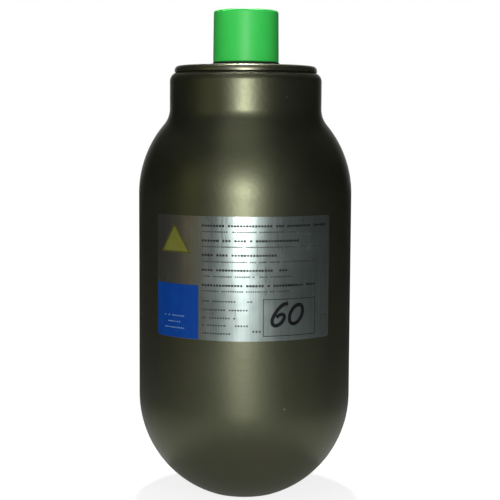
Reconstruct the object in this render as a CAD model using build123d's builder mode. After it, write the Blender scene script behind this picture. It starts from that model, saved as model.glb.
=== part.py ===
from build123d import *

import os
from math import acos, asin, cos, degrees, radians, sin, sqrt

# Bladder accumulator. A forged steel shell stands on its flat base, where the fluid port opens.
# A screwed plug closes the collar at the top and carries the bladder's stem, the gas valve and
# a protective cap. The origin is the centre of the flat base, +Z runs up the axis and -Y is the
# front, where the label is. All sizes are in millimetres.

# ---------------------------------------------------------------- driving dimensions

# Clearances
thread_gap = 0.1  # screwed pairs are plain cylinders this far apart
slip_gap = 0.06  # running fit of a shaft in its guide
seat_gap = 0.1  # faces that come together when something moves
seal_gap = 0.05  # a seal in its groove
bladder_gap = 0.3  # rubber beside metal

# Shell
shell_radius = 57.0
shell_wall = 8.0
body_length = 108.5  # straight wall between the two domes
base_flat_radius = 21.0
base_edge_chamfer = 0.8
floor_thickness = 16.0
floor_knuckle_radius = 11.0
collar_radius = 40.5
collar_rise = 64.5  # collar face above the upper dome's centre
collar_edge_radius = 5.0
collar_root_radius = 13.0
mouth_edge_radius = 1.5

# Closing plug
plug_thread_radius = 30.0
plug_thread_length = 14.0
plug_flange_radius = 38.0
plug_flange_thickness = 3.2
plug_flange_edge_radius = 2.4
plug_boss_radius = 15.0
plug_boss_height = 5.0
plug_spigot_inset = 1.5  # the seal bore is this much smaller than the thread
plug_spigot_length = 10.0
plug_lead_chamfer = 1.0
spanner_hole_count = 4
spanner_hole_radius = 3.0
spanner_hole_depth = 6.0
spanner_hole_circle_radius = 25.0

# Seals: section of each O-ring, thickness of each backup ring
plug_o_ring_section = 2.6
port_o_ring_section = 3.0
stem_o_ring_section = 1.9
valve_o_ring_section = 1.7
backup_ring_thickness = 1.5

# Bladder, as it hangs relaxed in the shell
bladder_slack = 5.0  # between the relaxed bladder and the shell's wall
bladder_wall = 2.5
bladder_head_radius = 20.0
bladder_head_thickness = 6.5
bladder_shoulder_drop = 41.5  # from the head's face to the straight wall
bladder_poppet_space = 5.0

# Bladder stem, moulded in the bladder's head
stem_radius = 9.0
stem_head_radius = 16.0
stem_head_thickness = 4.0
stem_passage_radius = 3.0
stem_groove_offset = 6.0  # groove centre above the plug's lower face
stem_end_beyond_nut = 0.9
stem_washer_radius = 13.5
stem_washer_thickness = 1.6
stem_nut_flats = 24.0
stem_nut_height = 5.0
nut_corner_chamfer = 0.6

# Gas valve
valve_shank_radius = 5.9
valve_shank_length = 12.0
valve_hex_flats = 15.0
valve_hex_height = 3.5
valve_neck_radius = 4.0
valve_neck_height = 7.5
core_bore_radius = 2.5
core_ledge_height = 5.5  # ledge above the shank's lower end
core_vent_radius = 1.0
core_body_length = 7.0
core_body_inset = 2.0  # core's upper end below the neck's rim
core_pin_radius = 0.75
core_pin_reach = 1.3  # pin's upper end above the core
core_pin_tail = 4.3  # pin's lower end below its plate
core_plate_radius = 1.9
core_plate_thickness = 1.0
core_seal_thickness = 1.6
core_spring_radius = 1.6
core_spring_wire = 0.4
core_spring_turns = 5
sealing_cap_flats = 12.0
sealing_cap_top = 1.3
sealing_cap_headroom = 0.4

# Protective cap and the gasket under it
gasket_radius = 17.8
gasket_thickness = 2.0
cap_foot_radius = 17.5
cap_crown_radius = 17.2
cap_headroom = 1.2
cap_top_thickness = 2.8
cap_edge_radius = 1.4
cap_foot_chamfer = 0.4

# Fluid port
port_thread_radius = 16.5  # screwed into the shell's base
port_recess = 0.5
port_flange_radius = 22.0
port_flange_thickness = 5.0
port_seat_wall = 3.0
port_female_radius = 9.3
port_female_depth = 14.0
port_female_chamfer = 1.2
port_run_out = 0.5
port_flow_radius = 8.6

# Anti-extrusion poppet
poppet_travel = 6.0
poppet_stem_radius = 4.0
poppet_stem_overhang = 0.4
poppet_rim_height = 1.5
poppet_crown_radius = 0.8
poppet_spring_space = 7.5  # closed poppet above the guide
poppet_spring_radius = 5.4
poppet_spring_wire = 1.4
poppet_spring_turns = 4
seat_bore_radius = 12.0
seat_width = 3.0  # the seat is a 45 degree cone this wide
guide_thickness = 4.0
guide_hub_radius = 6.2
guide_rim_width = 2.6
guide_arm_width = 2.6
guide_arm_count = 4
stop_nut_flats = 10.0
stop_nut_thickness = 4.0

# Label
label_thickness = 0.1
label_glue = 0.1
label_rise = 37.3  # label's lower edge above the lower dome's centre
label_height = 62.6
label_left_angle = 51.3  # degrees either side of the front
label_right_angle = 49.1
label_corner_radius = 1.4

# ---------------------------------------------------------------- levels and mating sizes

inner_radius = shell_radius - shell_wall
lower_centre_z = sqrt(shell_radius**2 - base_flat_radius**2)
upper_centre_z = lower_centre_z + body_length
collar_top_z = upper_centre_z + collar_rise

seal_bore_radius = plug_thread_radius - plug_spigot_inset
thread_bottom_z = collar_top_z - plug_thread_length
plug_bottom_z = thread_bottom_z - plug_spigot_length
plug_top_z = collar_top_z + plug_flange_thickness
boss_top_z = plug_top_z + plug_boss_height
stem_hole_radius = stem_radius + thread_gap

washer_top_z = boss_top_z + stem_washer_thickness
stem_nut_top_z = washer_top_z + stem_nut_height
stem_top_z = stem_nut_top_z + stem_end_beyond_nut
valve_hex_top_z = stem_top_z + valve_hex_height
valve_rim_z = valve_hex_top_z + valve_neck_height
valve_foot_z = stem_top_z - valve_shank_length
valve_bore_radius = valve_shank_radius + thread_gap
sealing_cap_inside_z = valve_rim_z + sealing_cap_headroom
sealing_cap_top_z = sealing_cap_inside_z + sealing_cap_top

core_ledge_z = valve_foot_z + core_ledge_height
core_top_z = valve_rim_z - core_body_inset
core_foot_z = core_top_z - core_body_length
core_seal_top_z = core_foot_z - seat_gap
core_plate_top_z = core_seal_top_z - core_seal_thickness
core_plate_foot_z = core_plate_top_z - core_plate_thickness

gasket_top_z = plug_top_z + gasket_thickness
cap_bore_radius = plug_boss_radius + thread_gap
cap_foot_z = gasket_top_z + seal_gap
cap_inside_z = sealing_cap_top_z + cap_headroom
cap_top_z = cap_inside_z + cap_top_thickness

port_neck_radius = port_thread_radius - thread_gap
port_flange_top_z = floor_thickness + port_flange_thickness
port_female_top_z = port_recess + port_female_depth
guide_foot_z = port_female_top_z + port_run_out + poppet_travel + stop_nut_thickness + poppet_stem_overhang
guide_top_z = guide_foot_z + guide_thickness
seat_foot_z = guide_top_z + poppet_spring_space
seat_top_z = seat_foot_z + seat_width
seat_mouth_radius = seat_bore_radius + seat_width
poppet_foot_z = seat_foot_z + poppet_travel + seat_gap
poppet_rim_z = poppet_foot_z + seat_width
poppet_top_z = poppet_rim_z + poppet_rim_height
stop_nut_top_z = guide_foot_z - seal_gap
stop_nut_foot_z = stop_nut_top_z - stop_nut_thickness

bladder_radius = inner_radius - bladder_slack
bladder_top_z = plug_bottom_z - bladder_gap
bladder_foot_z = poppet_top_z + bladder_poppet_space
bladder_head_foot_z = bladder_top_z - bladder_head_thickness
bladder_shoulder_z = bladder_top_z - bladder_shoulder_drop


def revolve_outline(*points):
    """Turn a closed outline of (radius, height) points about the axis, in the open part."""
    with BuildSketch(Plane.XZ) as outline:
        with BuildLine():
            Polyline(*points, close=True)
        make_face()
    revolve(outline.sketch, axis=Axis.Z)


def revolve_ring(inner, outer, bottom, top):
    """Turn a flat ring about the axis, in the open part."""
    revolve_outline((inner, bottom), (outer, bottom), (outer, top), (inner, top))


def revolve_o_ring(radius, height, section):
    """Turn a ring of round section about the axis, in the open part."""
    with BuildSketch(Plane.XZ) as round_section:
        with Locations((radius, height)):
            Circle(section / 2)
    revolve(round_section.sketch, axis=Axis.Z)


def sweep_spring(radius, wire, bottom, top, turns):
    """Sweep a round wire along a coil that stands between two flat seats, in the open part."""
    low = bottom + wire / 2 + seal_gap
    rise = top - wire / 2 - seal_gap - low
    with BuildLine() as coil:
        Helix(pitch=rise / turns, height=rise, radius=radius, center=(0, 0, low))
    with BuildSketch(Plane(origin=coil.line @ 0, z_dir=coil.line % 0)) as round_wire:
        Circle(wire / 2)
    sweep(round_wire.sketch, path=coil.line, is_frenet=True)


def hexagon_prism(flats, bottom, height, bore):
    """Raise a hexagon with a round bore and broken corners, in the open part."""
    with BuildSketch(Plane.XY.offset(bottom)) as hexagon:
        RegularPolygon(radius=flats / 2, side_count=6, major_radius=False)
        Circle(bore, mode=Mode.SUBTRACT)
    extrude(hexagon.sketch, amount=height)
    corner = flats / sqrt(3)
    face = corner - nut_corner_chamfer
    slope = nut_corner_chamfer / 2
    top = bottom + height
    with BuildSketch(Plane.XZ) as broken_edges:
        with BuildLine():
            Polyline(
                (0, bottom),
                (face, bottom),
                (corner, bottom + slope),
                (corner, top - slope),
                (face, top),
                (0, top),
                close=True,
            )
        make_face()
    revolve(broken_edges.sketch, axis=Axis.Z, mode=Mode.INTERSECT)


# ---------------------------------------------------------------- shell

# The root fillet touches the upper dome and the collar, the knuckle the lower dome and the floor.
root_centre_radius = collar_radius + collar_root_radius
root_reach = shell_radius + collar_root_radius
root_centre_z = upper_centre_z + sqrt(root_reach**2 - root_centre_radius**2)
root_angle = degrees(acos(root_centre_radius / root_reach))
base_angle = degrees(acos(base_flat_radius / shell_radius))
mouth_angle = degrees(acos(seal_bore_radius / inner_radius))
knuckle_centre_z = floor_thickness + floor_knuckle_radius
knuckle_reach = inner_radius - floor_knuckle_radius
knuckle_angle = degrees(asin((lower_centre_z - knuckle_centre_z) / knuckle_reach))
knuckle_centre_radius = knuckle_reach * cos(radians(knuckle_angle))
port_groove_radius = port_neck_radius + port_o_ring_section + 2 * seal_gap
port_groove_depth = port_o_ring_section + backup_ring_thickness + 3 * seal_gap

with BuildPart() as shell:
    with BuildSketch(Plane.XZ):
        with BuildLine():
            Line((0, 0), (base_flat_radius, 0))
            CenterArc((0, lower_centre_z), shell_radius, -base_angle, base_angle)
            Line((shell_radius, lower_centre_z), (shell_radius, upper_centre_z))
            CenterArc((0, upper_centre_z), shell_radius, 0, root_angle)
            CenterArc(
                (root_centre_radius, root_centre_z), collar_root_radius, 180 + root_angle, -root_angle
            )
            Line((collar_radius, root_centre_z), (collar_radius, collar_top_z - collar_edge_radius))
            CenterArc(
                (collar_radius - collar_edge_radius, collar_top_z - collar_edge_radius),
                collar_edge_radius,
                0,
                90,
            )
            Line((collar_radius - collar_edge_radius, collar_top_z), (0, collar_top_z))
            Line((0, collar_top_z), (0, 0))
        make_face()
    revolve(axis=Axis.Z)

    with BuildSketch(Plane.XZ):
        with BuildLine():
            Line((0, floor_thickness), (knuckle_centre_radius, floor_thickness))
            CenterArc(
                (knuckle_centre_radius, knuckle_centre_z), floor_knuckle_radius, -90, 90 - knuckle_angle
            )
            CenterArc((0, lower_centre_z), inner_radius, -knuckle_angle, knuckle_angle)
            Line((inner_radius, lower_centre_z), (inner_radius, upper_centre_z))
            CenterArc((0, upper_centre_z), inner_radius, 0, mouth_angle)
            mouth_z = upper_centre_z + inner_radius * sin(radians(mouth_angle))
            Line((seal_bore_radius, mouth_z), (0, mouth_z))
            Line((0, mouth_z), (0, floor_thickness))
        make_face()
    revolve(axis=Axis.Z, mode=Mode.SUBTRACT)

    with BuildSketch(Plane.XY.offset(mouth_z - shell_wall)):
        Circle(seal_bore_radius)
    extrude(until=Until.LAST, mode=Mode.SUBTRACT)
    with BuildSketch(Plane.XY.offset(thread_bottom_z)):
        Circle(plug_thread_radius)
    extrude(amount=plug_thread_length, mode=Mode.SUBTRACT)
    fillet(shell.edges().filter_by(GeomType.CIRCLE).sort_by_distance((seal_bore_radius, 0, mouth_z))[0],
           radius=mouth_edge_radius)

    with BuildSketch(Plane.XY):
        Circle(port_thread_radius)
    extrude(amount=floor_thickness, mode=Mode.SUBTRACT)
    with BuildSketch(Plane.XY.offset(floor_thickness - port_groove_depth)):
        Circle(port_groove_radius)
    extrude(amount=port_groove_depth, mode=Mode.SUBTRACT)
    base_rims = shell.edges().filter_by(GeomType.CIRCLE).group_by(Axis.Z)[0]
    chamfer(base_rims.sort_by(SortBy.RADIUS)[0], length=base_edge_chamfer)
shell.part.label = "shell"

# ---------------------------------------------------------------- closing plug and its seals

plug_thread_outer = plug_thread_radius - thread_gap
spigot_radius = seal_bore_radius - thread_gap
plug_groove_radius = seal_bore_radius - plug_o_ring_section - 2 * seal_gap
plug_groove_height = plug_o_ring_section + backup_ring_thickness + 3 * seal_gap
plug_groove_z = (plug_bottom_z + thread_bottom_z - plug_groove_height) / 2
plug_o_ring_z = plug_groove_z + seal_gap + plug_o_ring_section / 2
plug_backup_z = plug_groove_z + plug_groove_height - seal_gap - backup_ring_thickness

with BuildPart() as closing_plug:
    revolve_outline(
        (stem_hole_radius, plug_bottom_z),
        (spigot_radius - plug_lead_chamfer, plug_bottom_z),
        (spigot_radius, plug_bottom_z + plug_lead_chamfer),
        (spigot_radius, plug_groove_z),
        (plug_groove_radius, plug_groove_z),
        (plug_groove_radius, plug_groove_z + plug_groove_height),
        (spigot_radius, plug_groove_z + plug_groove_height),
        (spigot_radius, thread_bottom_z + thread_gap),
        (plug_thread_outer - plug_lead_chamfer, thread_bottom_z + thread_gap),
        (plug_thread_outer, thread_bottom_z + thread_gap + plug_lead_chamfer),
        (plug_thread_outer, collar_top_z),
        (plug_flange_radius, collar_top_z),
        (plug_flange_radius, plug_top_z),
        (plug_boss_radius, plug_top_z),
        (plug_boss_radius, boss_top_z),
        (stem_hole_radius, boss_top_z),
    )
    rims = closing_plug.edges().filter_by(GeomType.CIRCLE)
    fillet(rims.sort_by_distance((plug_flange_radius, 0, plug_top_z))[0], radius=plug_flange_edge_radius)
    rims = closing_plug.edges().filter_by(GeomType.CIRCLE)
    chamfer(rims.sort_by_distance((plug_boss_radius, 0, boss_top_z))[0], length=plug_lead_chamfer)
    with BuildSketch(Plane.XY.offset(plug_top_z)):
        with PolarLocations(spanner_hole_circle_radius, spanner_hole_count, start_angle=45):
            Circle(spanner_hole_radius)
    extrude(amount=-spanner_hole_depth, mode=Mode.SUBTRACT)
closing_plug.part.label = "closing_plug"

with BuildPart() as plug_o_ring:
    revolve_o_ring(
        plug_groove_radius + seal_gap + plug_o_ring_section / 2, plug_o_ring_z, plug_o_ring_section
    )
plug_o_ring.part.label = "plug_o_ring"

with BuildPart() as plug_backup_ring:
    revolve_ring(
        plug_groove_radius + seal_gap,
        seal_bore_radius - seal_gap,
        plug_backup_z,
        plug_backup_z + backup_ring_thickness,
    )
plug_backup_ring.part.label = "plug_backup_ring"

# ---------------------------------------------------------------- bladder and its stem

# Both walls of the bladder leave its head on an arc that runs straight down at the shoulder.
bladder_inner_radius = bladder_radius - bladder_wall
bladder_hole_radius = stem_radius + seal_gap
head_inner_radius = bladder_head_radius - bladder_wall
inner_drop = bladder_shoulder_drop - bladder_head_thickness
outer_spread = bladder_radius - bladder_head_radius
inner_spread = bladder_inner_radius - head_inner_radius
outer_arc_radius = (outer_spread**2 + bladder_shoulder_drop**2) / (2 * outer_spread)
inner_arc_radius = (inner_spread**2 + inner_drop**2) / (2 * inner_spread)
bladder_dome_z = bladder_foot_z + bladder_radius

with BuildPart() as bladder:
    with BuildSketch(Plane.XZ):
        with BuildLine():
            Line((bladder_hole_radius, bladder_top_z), (bladder_head_radius, bladder_top_z))
            CenterArc(
                (bladder_radius - outer_arc_radius, bladder_shoulder_z),
                outer_arc_radius,
                0,
                degrees(asin(bladder_shoulder_drop / outer_arc_radius)),
            )
            Line((bladder_radius, bladder_shoulder_z), (bladder_radius, bladder_dome_z))
            CenterArc((0, bladder_dome_z), bladder_radius, -90, 90)
            Line((0, bladder_foot_z), (0, bladder_foot_z + bladder_wall))
            CenterArc((0, bladder_dome_z), bladder_inner_radius, -90, 90)
            Line((bladder_inner_radius, bladder_dome_z), (bladder_inner_radius, bladder_shoulder_z))
            CenterArc(
                (bladder_inner_radius - inner_arc_radius, bladder_shoulder_z),
                inner_arc_radius,
                0,
                degrees(asin(inner_drop / inner_arc_radius)),
            )
            Line((head_inner_radius, bladder_head_foot_z), (bladder_hole_radius, bladder_head_foot_z))
            Line((bladder_hole_radius, bladder_head_foot_z), (bladder_hole_radius, bladder_top_z))
        make_face()
    revolve(axis=Axis.Z)
bladder.part.label = "bladder"

stem_groove_radius = stem_radius - stem_o_ring_section + seal_gap
stem_groove_z = plug_bottom_z + stem_groove_offset
stem_groove_half = stem_o_ring_section / 2 + seal_gap
stem_head_foot_z = bladder_head_foot_z - stem_head_thickness
valve_seal_depth = valve_o_ring_section + seal_gap
valve_seal_radius = valve_shank_radius + valve_o_ring_section + 2 * seal_gap

with BuildPart() as bladder_stem:
    revolve_outline(
        (stem_passage_radius, stem_head_foot_z),
        (stem_head_radius, stem_head_foot_z),
        (stem_head_radius, bladder_head_foot_z),
        (stem_radius, bladder_head_foot_z),
        (stem_radius, stem_groove_z - stem_groove_half),
        (stem_groove_radius, stem_groove_z - stem_groove_half),
        (stem_groove_radius, stem_groove_z + stem_groove_half),
        (stem_radius, stem_groove_z + stem_groove_half),
        (stem_radius, stem_top_z),
        (valve_seal_radius, stem_top_z),
        (valve_seal_radius, stem_top_z - valve_seal_depth),
        (valve_bore_radius, stem_top_z - valve_seal_depth),
        (valve_bore_radius, valve_foot_z - seat_gap),
        (stem_passage_radius, valve_foot_z - seat_gap),
    )
bladder_stem.part.label = "bladder_stem"

with BuildPart() as stem_o_ring:
    revolve_o_ring(
        stem_groove_radius + seal_gap + stem_o_ring_section / 2, stem_groove_z, stem_o_ring_section
    )
stem_o_ring.part.label = "stem_o_ring"

with BuildPart() as stem_washer:
    revolve_ring(stem_hole_radius, stem_washer_radius, boss_top_z, washer_top_z)
stem_washer.part.label = "stem_washer"

with BuildPart() as stem_lock_nut:
    hexagon_prism(stem_nut_flats, washer_top_z, stem_nut_height, stem_hole_radius)
stem_lock_nut.part.label = "stem_lock_nut"

# ---------------------------------------------------------------- gas valve

with BuildPart() as gas_valve_body:
    hexagon_prism(valve_hex_flats, stem_top_z, valve_hex_height, core_bore_radius)
    revolve_outline(
        (core_vent_radius, valve_foot_z),
        (valve_shank_radius, valve_foot_z),
        (valve_shank_radius, stem_top_z),
        (valve_neck_radius, valve_hex_top_z),
        (valve_neck_radius, valve_rim_z),
        (core_bore_radius, valve_rim_z),
        (core_bore_radius, core_ledge_z),
        (core_vent_radius, core_ledge_z),
    )
    rims = gas_valve_body.edges().filter_by(GeomType.CIRCLE)
    chamfer(rims.sort_by_distance((valve_neck_radius, 0, valve_rim_z))[0], length=nut_corner_chamfer)
gas_valve_body.part.label = "gas_valve_body"

with BuildPart() as gas_valve_o_ring:
    revolve_o_ring(
        (valve_shank_radius + valve_seal_radius) / 2,
        stem_top_z - valve_seal_depth / 2,
        valve_o_ring_section,
    )
gas_valve_o_ring.part.label = "gas_valve_o_ring"

with BuildPart() as valve_core_body:
    revolve_ring(core_pin_radius + slip_gap, core_bore_radius - thread_gap, core_foot_z, core_top_z)
valve_core_body.part.label = "valve_core_body"

with BuildPart() as valve_core_pin:
    pin_foot_z = core_plate_foot_z - core_pin_tail
    pin_top_z = core_top_z + core_pin_reach
    revolve_outline(
        (0, pin_foot_z),
        (core_pin_radius, pin_foot_z),
        (core_pin_radius, core_plate_foot_z),
        (core_plate_radius, core_plate_foot_z),
        (core_plate_radius, core_plate_top_z),
        (core_pin_radius, core_plate_top_z),
        (core_pin_radius, pin_top_z),
        (0, pin_top_z),
    )
valve_core_pin.part.label = "valve_core_pin"

with BuildPart() as valve_core_seal:
    revolve_ring(core_pin_radius + seal_gap, core_plate_radius, core_plate_top_z, core_seal_top_z)
valve_core_seal.part.label = "valve_core_seal"

with BuildPart() as valve_core_spring:
    sweep_spring(core_spring_radius, core_spring_wire, core_ledge_z, core_plate_foot_z, core_spring_turns)
valve_core_spring.part.label = "valve_core_spring"

with BuildPart() as valve_sealing_cap:
    sealing_cap_foot_z = valve_hex_top_z + seal_gap
    hexagon_prism(
        sealing_cap_flats,
        sealing_cap_foot_z,
        sealing_cap_top_z - sealing_cap_foot_z,
        valve_neck_radius + thread_gap,
    )
    with BuildSketch(Plane.XY.offset(sealing_cap_inside_z)):
        Circle(valve_neck_radius + thread_gap)
    extrude(amount=sealing_cap_top)
valve_sealing_cap.part.label = "valve_sealing_cap"

# ---------------------------------------------------------------- protective cap and gasket

with BuildPart() as cap_gasket:
    revolve_ring(plug_boss_radius + seal_gap, gasket_radius, plug_top_z, gasket_top_z)
    gasket_rims = cap_gasket.edges().filter_by(GeomType.CIRCLE).group_by(SortBy.RADIUS)[-1]
    chamfer(gasket_rims, length=cap_foot_chamfer)
cap_gasket.part.label = "cap_gasket"

with BuildPart() as protective_cap:
    revolve_outline(
        (cap_bore_radius, cap_foot_z),
        (cap_foot_radius, cap_foot_z),
        (cap_crown_radius, cap_top_z),
        (0, cap_top_z),
        (0, cap_inside_z),
        (cap_bore_radius, cap_inside_z),
    )
    cap_rims = protective_cap.edges().filter_by(GeomType.CIRCLE)
    fillet(cap_rims.sort_by_distance((cap_crown_radius, 0, cap_top_z))[0], radius=cap_edge_radius)
    cap_rims = protective_cap.edges().filter_by(GeomType.CIRCLE)
    chamfer(cap_rims.sort_by_distance((cap_foot_radius, 0, cap_foot_z))[0], length=cap_foot_chamfer)
protective_cap.part.label = "protective_cap"

# ---------------------------------------------------------------- fluid port

port_tower_radius = seat_mouth_radius + port_seat_wall

with BuildPart() as port_body:
    revolve_outline(
        (port_female_radius, port_recess),
        (port_neck_radius, port_recess),
        (port_neck_radius, floor_thickness),
        (port_flange_radius, floor_thickness),
        (port_flange_radius, port_flange_top_z),
        (port_tower_radius, port_flange_top_z),
        (port_tower_radius, seat_top_z),
        (seat_mouth_radius, seat_top_z),
        (seat_bore_radius, seat_foot_z),
        (seat_bore_radius, guide_foot_z),
        (port_flow_radius, guide_foot_z),
        (port_flow_radius, port_female_top_z),
        (port_female_radius, port_female_top_z),
    )
    port_rims = port_body.edges().filter_by(GeomType.CIRCLE).group_by(Axis.Z)[0]
    chamfer(port_rims.sort_by(SortBy.RADIUS)[0], length=port_female_chamfer)
port_body.part.label = "port_body"

with BuildPart() as port_o_ring:
    revolve_o_ring(
        (port_neck_radius + port_groove_radius) / 2,
        floor_thickness - seal_gap - port_o_ring_section / 2,
        port_o_ring_section,
    )
port_o_ring.part.label = "port_o_ring"

with BuildPart() as port_backup_ring:
    port_backup_z = floor_thickness - port_groove_depth + seal_gap
    revolve_ring(
        port_neck_radius + seal_gap,
        port_groove_radius - seal_gap,
        port_backup_z,
        port_backup_z + backup_ring_thickness,
    )
port_backup_ring.part.label = "port_backup_ring"

# ---------------------------------------------------------------- anti-extrusion poppet

with BuildPart() as poppet_guide:
    with BuildSketch(Plane.XY.offset(guide_foot_z)):
        Circle(seat_bore_radius - seal_gap)
        Circle(seat_bore_radius - seal_gap - guide_rim_width, mode=Mode.SUBTRACT)
        Circle(guide_hub_radius)
        with PolarLocations(0, guide_arm_count):
            Rectangle(
                seat_bore_radius - guide_rim_width / 2, guide_arm_width, align=(Align.MIN, Align.CENTER)
            )
        Circle(poppet_stem_radius + slip_gap, mode=Mode.SUBTRACT)
    extrude(amount=guide_thickness)
poppet_guide.part.label = "poppet_guide"

with BuildPart() as poppet:
    poppet_end_z = stop_nut_foot_z - poppet_stem_overhang
    revolve_outline(
        (0, poppet_end_z),
        (poppet_stem_radius, poppet_end_z),
        (poppet_stem_radius, poppet_foot_z),
        (seat_bore_radius, poppet_foot_z),
        (seat_mouth_radius, poppet_rim_z),
        (seat_mouth_radius, poppet_top_z),
        (0, poppet_top_z),
    )
    poppet_rims = poppet.edges().filter_by(GeomType.CIRCLE).group_by(Axis.Z)[-1]
    fillet(poppet_rims, radius=poppet_crown_radius)
poppet.part.label = "poppet"

with BuildPart() as poppet_stop_nut:
    hexagon_prism(stop_nut_flats, stop_nut_foot_z, stop_nut_thickness, poppet_stem_radius + seal_gap)
poppet_stop_nut.part.label = "poppet_stop_nut"

with BuildPart() as poppet_spring:
    sweep_spring(
        poppet_spring_radius, poppet_spring_wire, guide_top_z, poppet_foot_z, poppet_spring_turns
    )
poppet_spring.part.label = "poppet_spring"

# ---------------------------------------------------------------- label

label_inner_radius = shell_radius + label_glue
label_outer_radius = label_inner_radius + label_thickness
label_bottom_z = lower_centre_z + label_rise
label_top_z = label_bottom_z + label_height
label_start = Plane.XZ.rotated((0, 0, -90 - label_left_angle))

with BuildPart() as label_foil:
    with BuildSketch(label_start):
        with BuildLine():
            Polyline(
                (label_inner_radius, label_bottom_z),
                (label_outer_radius, label_bottom_z),
                (label_outer_radius, label_top_z),
                (label_inner_radius, label_top_z),
                close=True,
            )
        make_face()
    revolve(axis=Axis.Z, revolution_arc=label_left_angle + label_right_angle)
    corners = label_foil.edges().filter_by(lambda edge: edge.length < 2 * label_thickness)
    fillet(corners, radius=label_corner_radius)
label_foil.part.label = "label_foil"

# ---------------------------------------------------------------- export

pieces = [
    shell,
    closing_plug,
    plug_o_ring,
    plug_backup_ring,
    bladder,
    bladder_stem,
    stem_o_ring,
    stem_washer,
    stem_lock_nut,
    gas_valve_body,
    gas_valve_o_ring,
    valve_core_body,
    valve_core_pin,
    valve_core_seal,
    valve_core_spring,
    valve_sealing_cap,
    cap_gasket,
    protective_cap,
    port_body,
    port_o_ring,
    port_backup_ring,
    poppet_guide,
    poppet,
    poppet_stop_nut,
    poppet_spring,
    label_foil,
]

os.makedirs("parts", exist_ok=True)
for piece in pieces:
    export_step(piece.part, f"parts/{piece.part.label}.step")
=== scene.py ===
"""Looks of a bladder accumulator: painted shell, foil label with its print, gas valve threads and studio."""

import logging
import math
from dataclasses import dataclass, field
from enum import Enum
from typing import Callable, ClassVar, Iterable, NamedTuple, Sequence

import bmesh
import bpy
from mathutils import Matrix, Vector


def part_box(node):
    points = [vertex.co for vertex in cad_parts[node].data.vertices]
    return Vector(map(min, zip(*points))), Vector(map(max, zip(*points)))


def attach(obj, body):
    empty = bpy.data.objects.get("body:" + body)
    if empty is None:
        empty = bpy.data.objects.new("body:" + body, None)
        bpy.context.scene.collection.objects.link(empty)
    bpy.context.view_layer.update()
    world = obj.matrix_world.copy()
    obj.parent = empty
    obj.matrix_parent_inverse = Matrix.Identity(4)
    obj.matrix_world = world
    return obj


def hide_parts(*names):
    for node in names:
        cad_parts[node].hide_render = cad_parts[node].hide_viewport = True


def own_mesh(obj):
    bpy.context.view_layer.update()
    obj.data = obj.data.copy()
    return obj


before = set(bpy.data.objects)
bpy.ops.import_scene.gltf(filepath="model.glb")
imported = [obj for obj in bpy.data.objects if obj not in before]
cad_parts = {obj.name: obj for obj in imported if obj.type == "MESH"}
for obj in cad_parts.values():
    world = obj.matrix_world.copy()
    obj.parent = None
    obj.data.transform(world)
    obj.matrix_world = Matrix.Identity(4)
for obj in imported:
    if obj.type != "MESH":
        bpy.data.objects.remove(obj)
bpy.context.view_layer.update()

log = logging.getLogger("accumulator")

MM = 0.001
WELD = 1e-6  # points nearer than this become one, in metres
PLATE_WELD = 2e-6  # the same on the label's thin plates
COPY_WELD = 4e-6  # the same on copies of CAD meshes
LEVEL = 0.9999  # a face is level where its normal's height is past this
SMOOTH_ANGLE = math.radians(32)

Colour = tuple[float, float, float]
Point = tuple[float, float]
Edge = Callable[[float], float]  # an edge's height at a place round the wall
Lift = Callable[[float, float], float]  # a surface's lift at a place and a height
Node = bpy.types.Node
Socket = bpy.types.NodeSocket
Tree = bpy.types.NodeTree
Mesh = bpy.types.Mesh
Piece = bpy.types.Object
Material = bpy.types.Material


class Body(Enum):
    """The bodies that the scene's own pieces ride on."""

    MAIN = "accumulator"
    CAP = "cap"
    POPPET = "poppet"


class Slot(Enum):
    """The record's material slots."""

    SHELL = "shell_paint"
    PLUG = "plug_paint"
    ZINC = "zinc_steel"
    PORT = "port_steel"
    SPRING = "spring_steel"
    BRASS = "valve_brass"
    CAP = "green_plastic"
    SEAL = "seal_rubber"
    BLADDER = "bladder_rubber"
    BACKUP = "backup_plastic"
    LABEL = "label_foil"


# ---------------------------------------------------------------- node helpers


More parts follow.
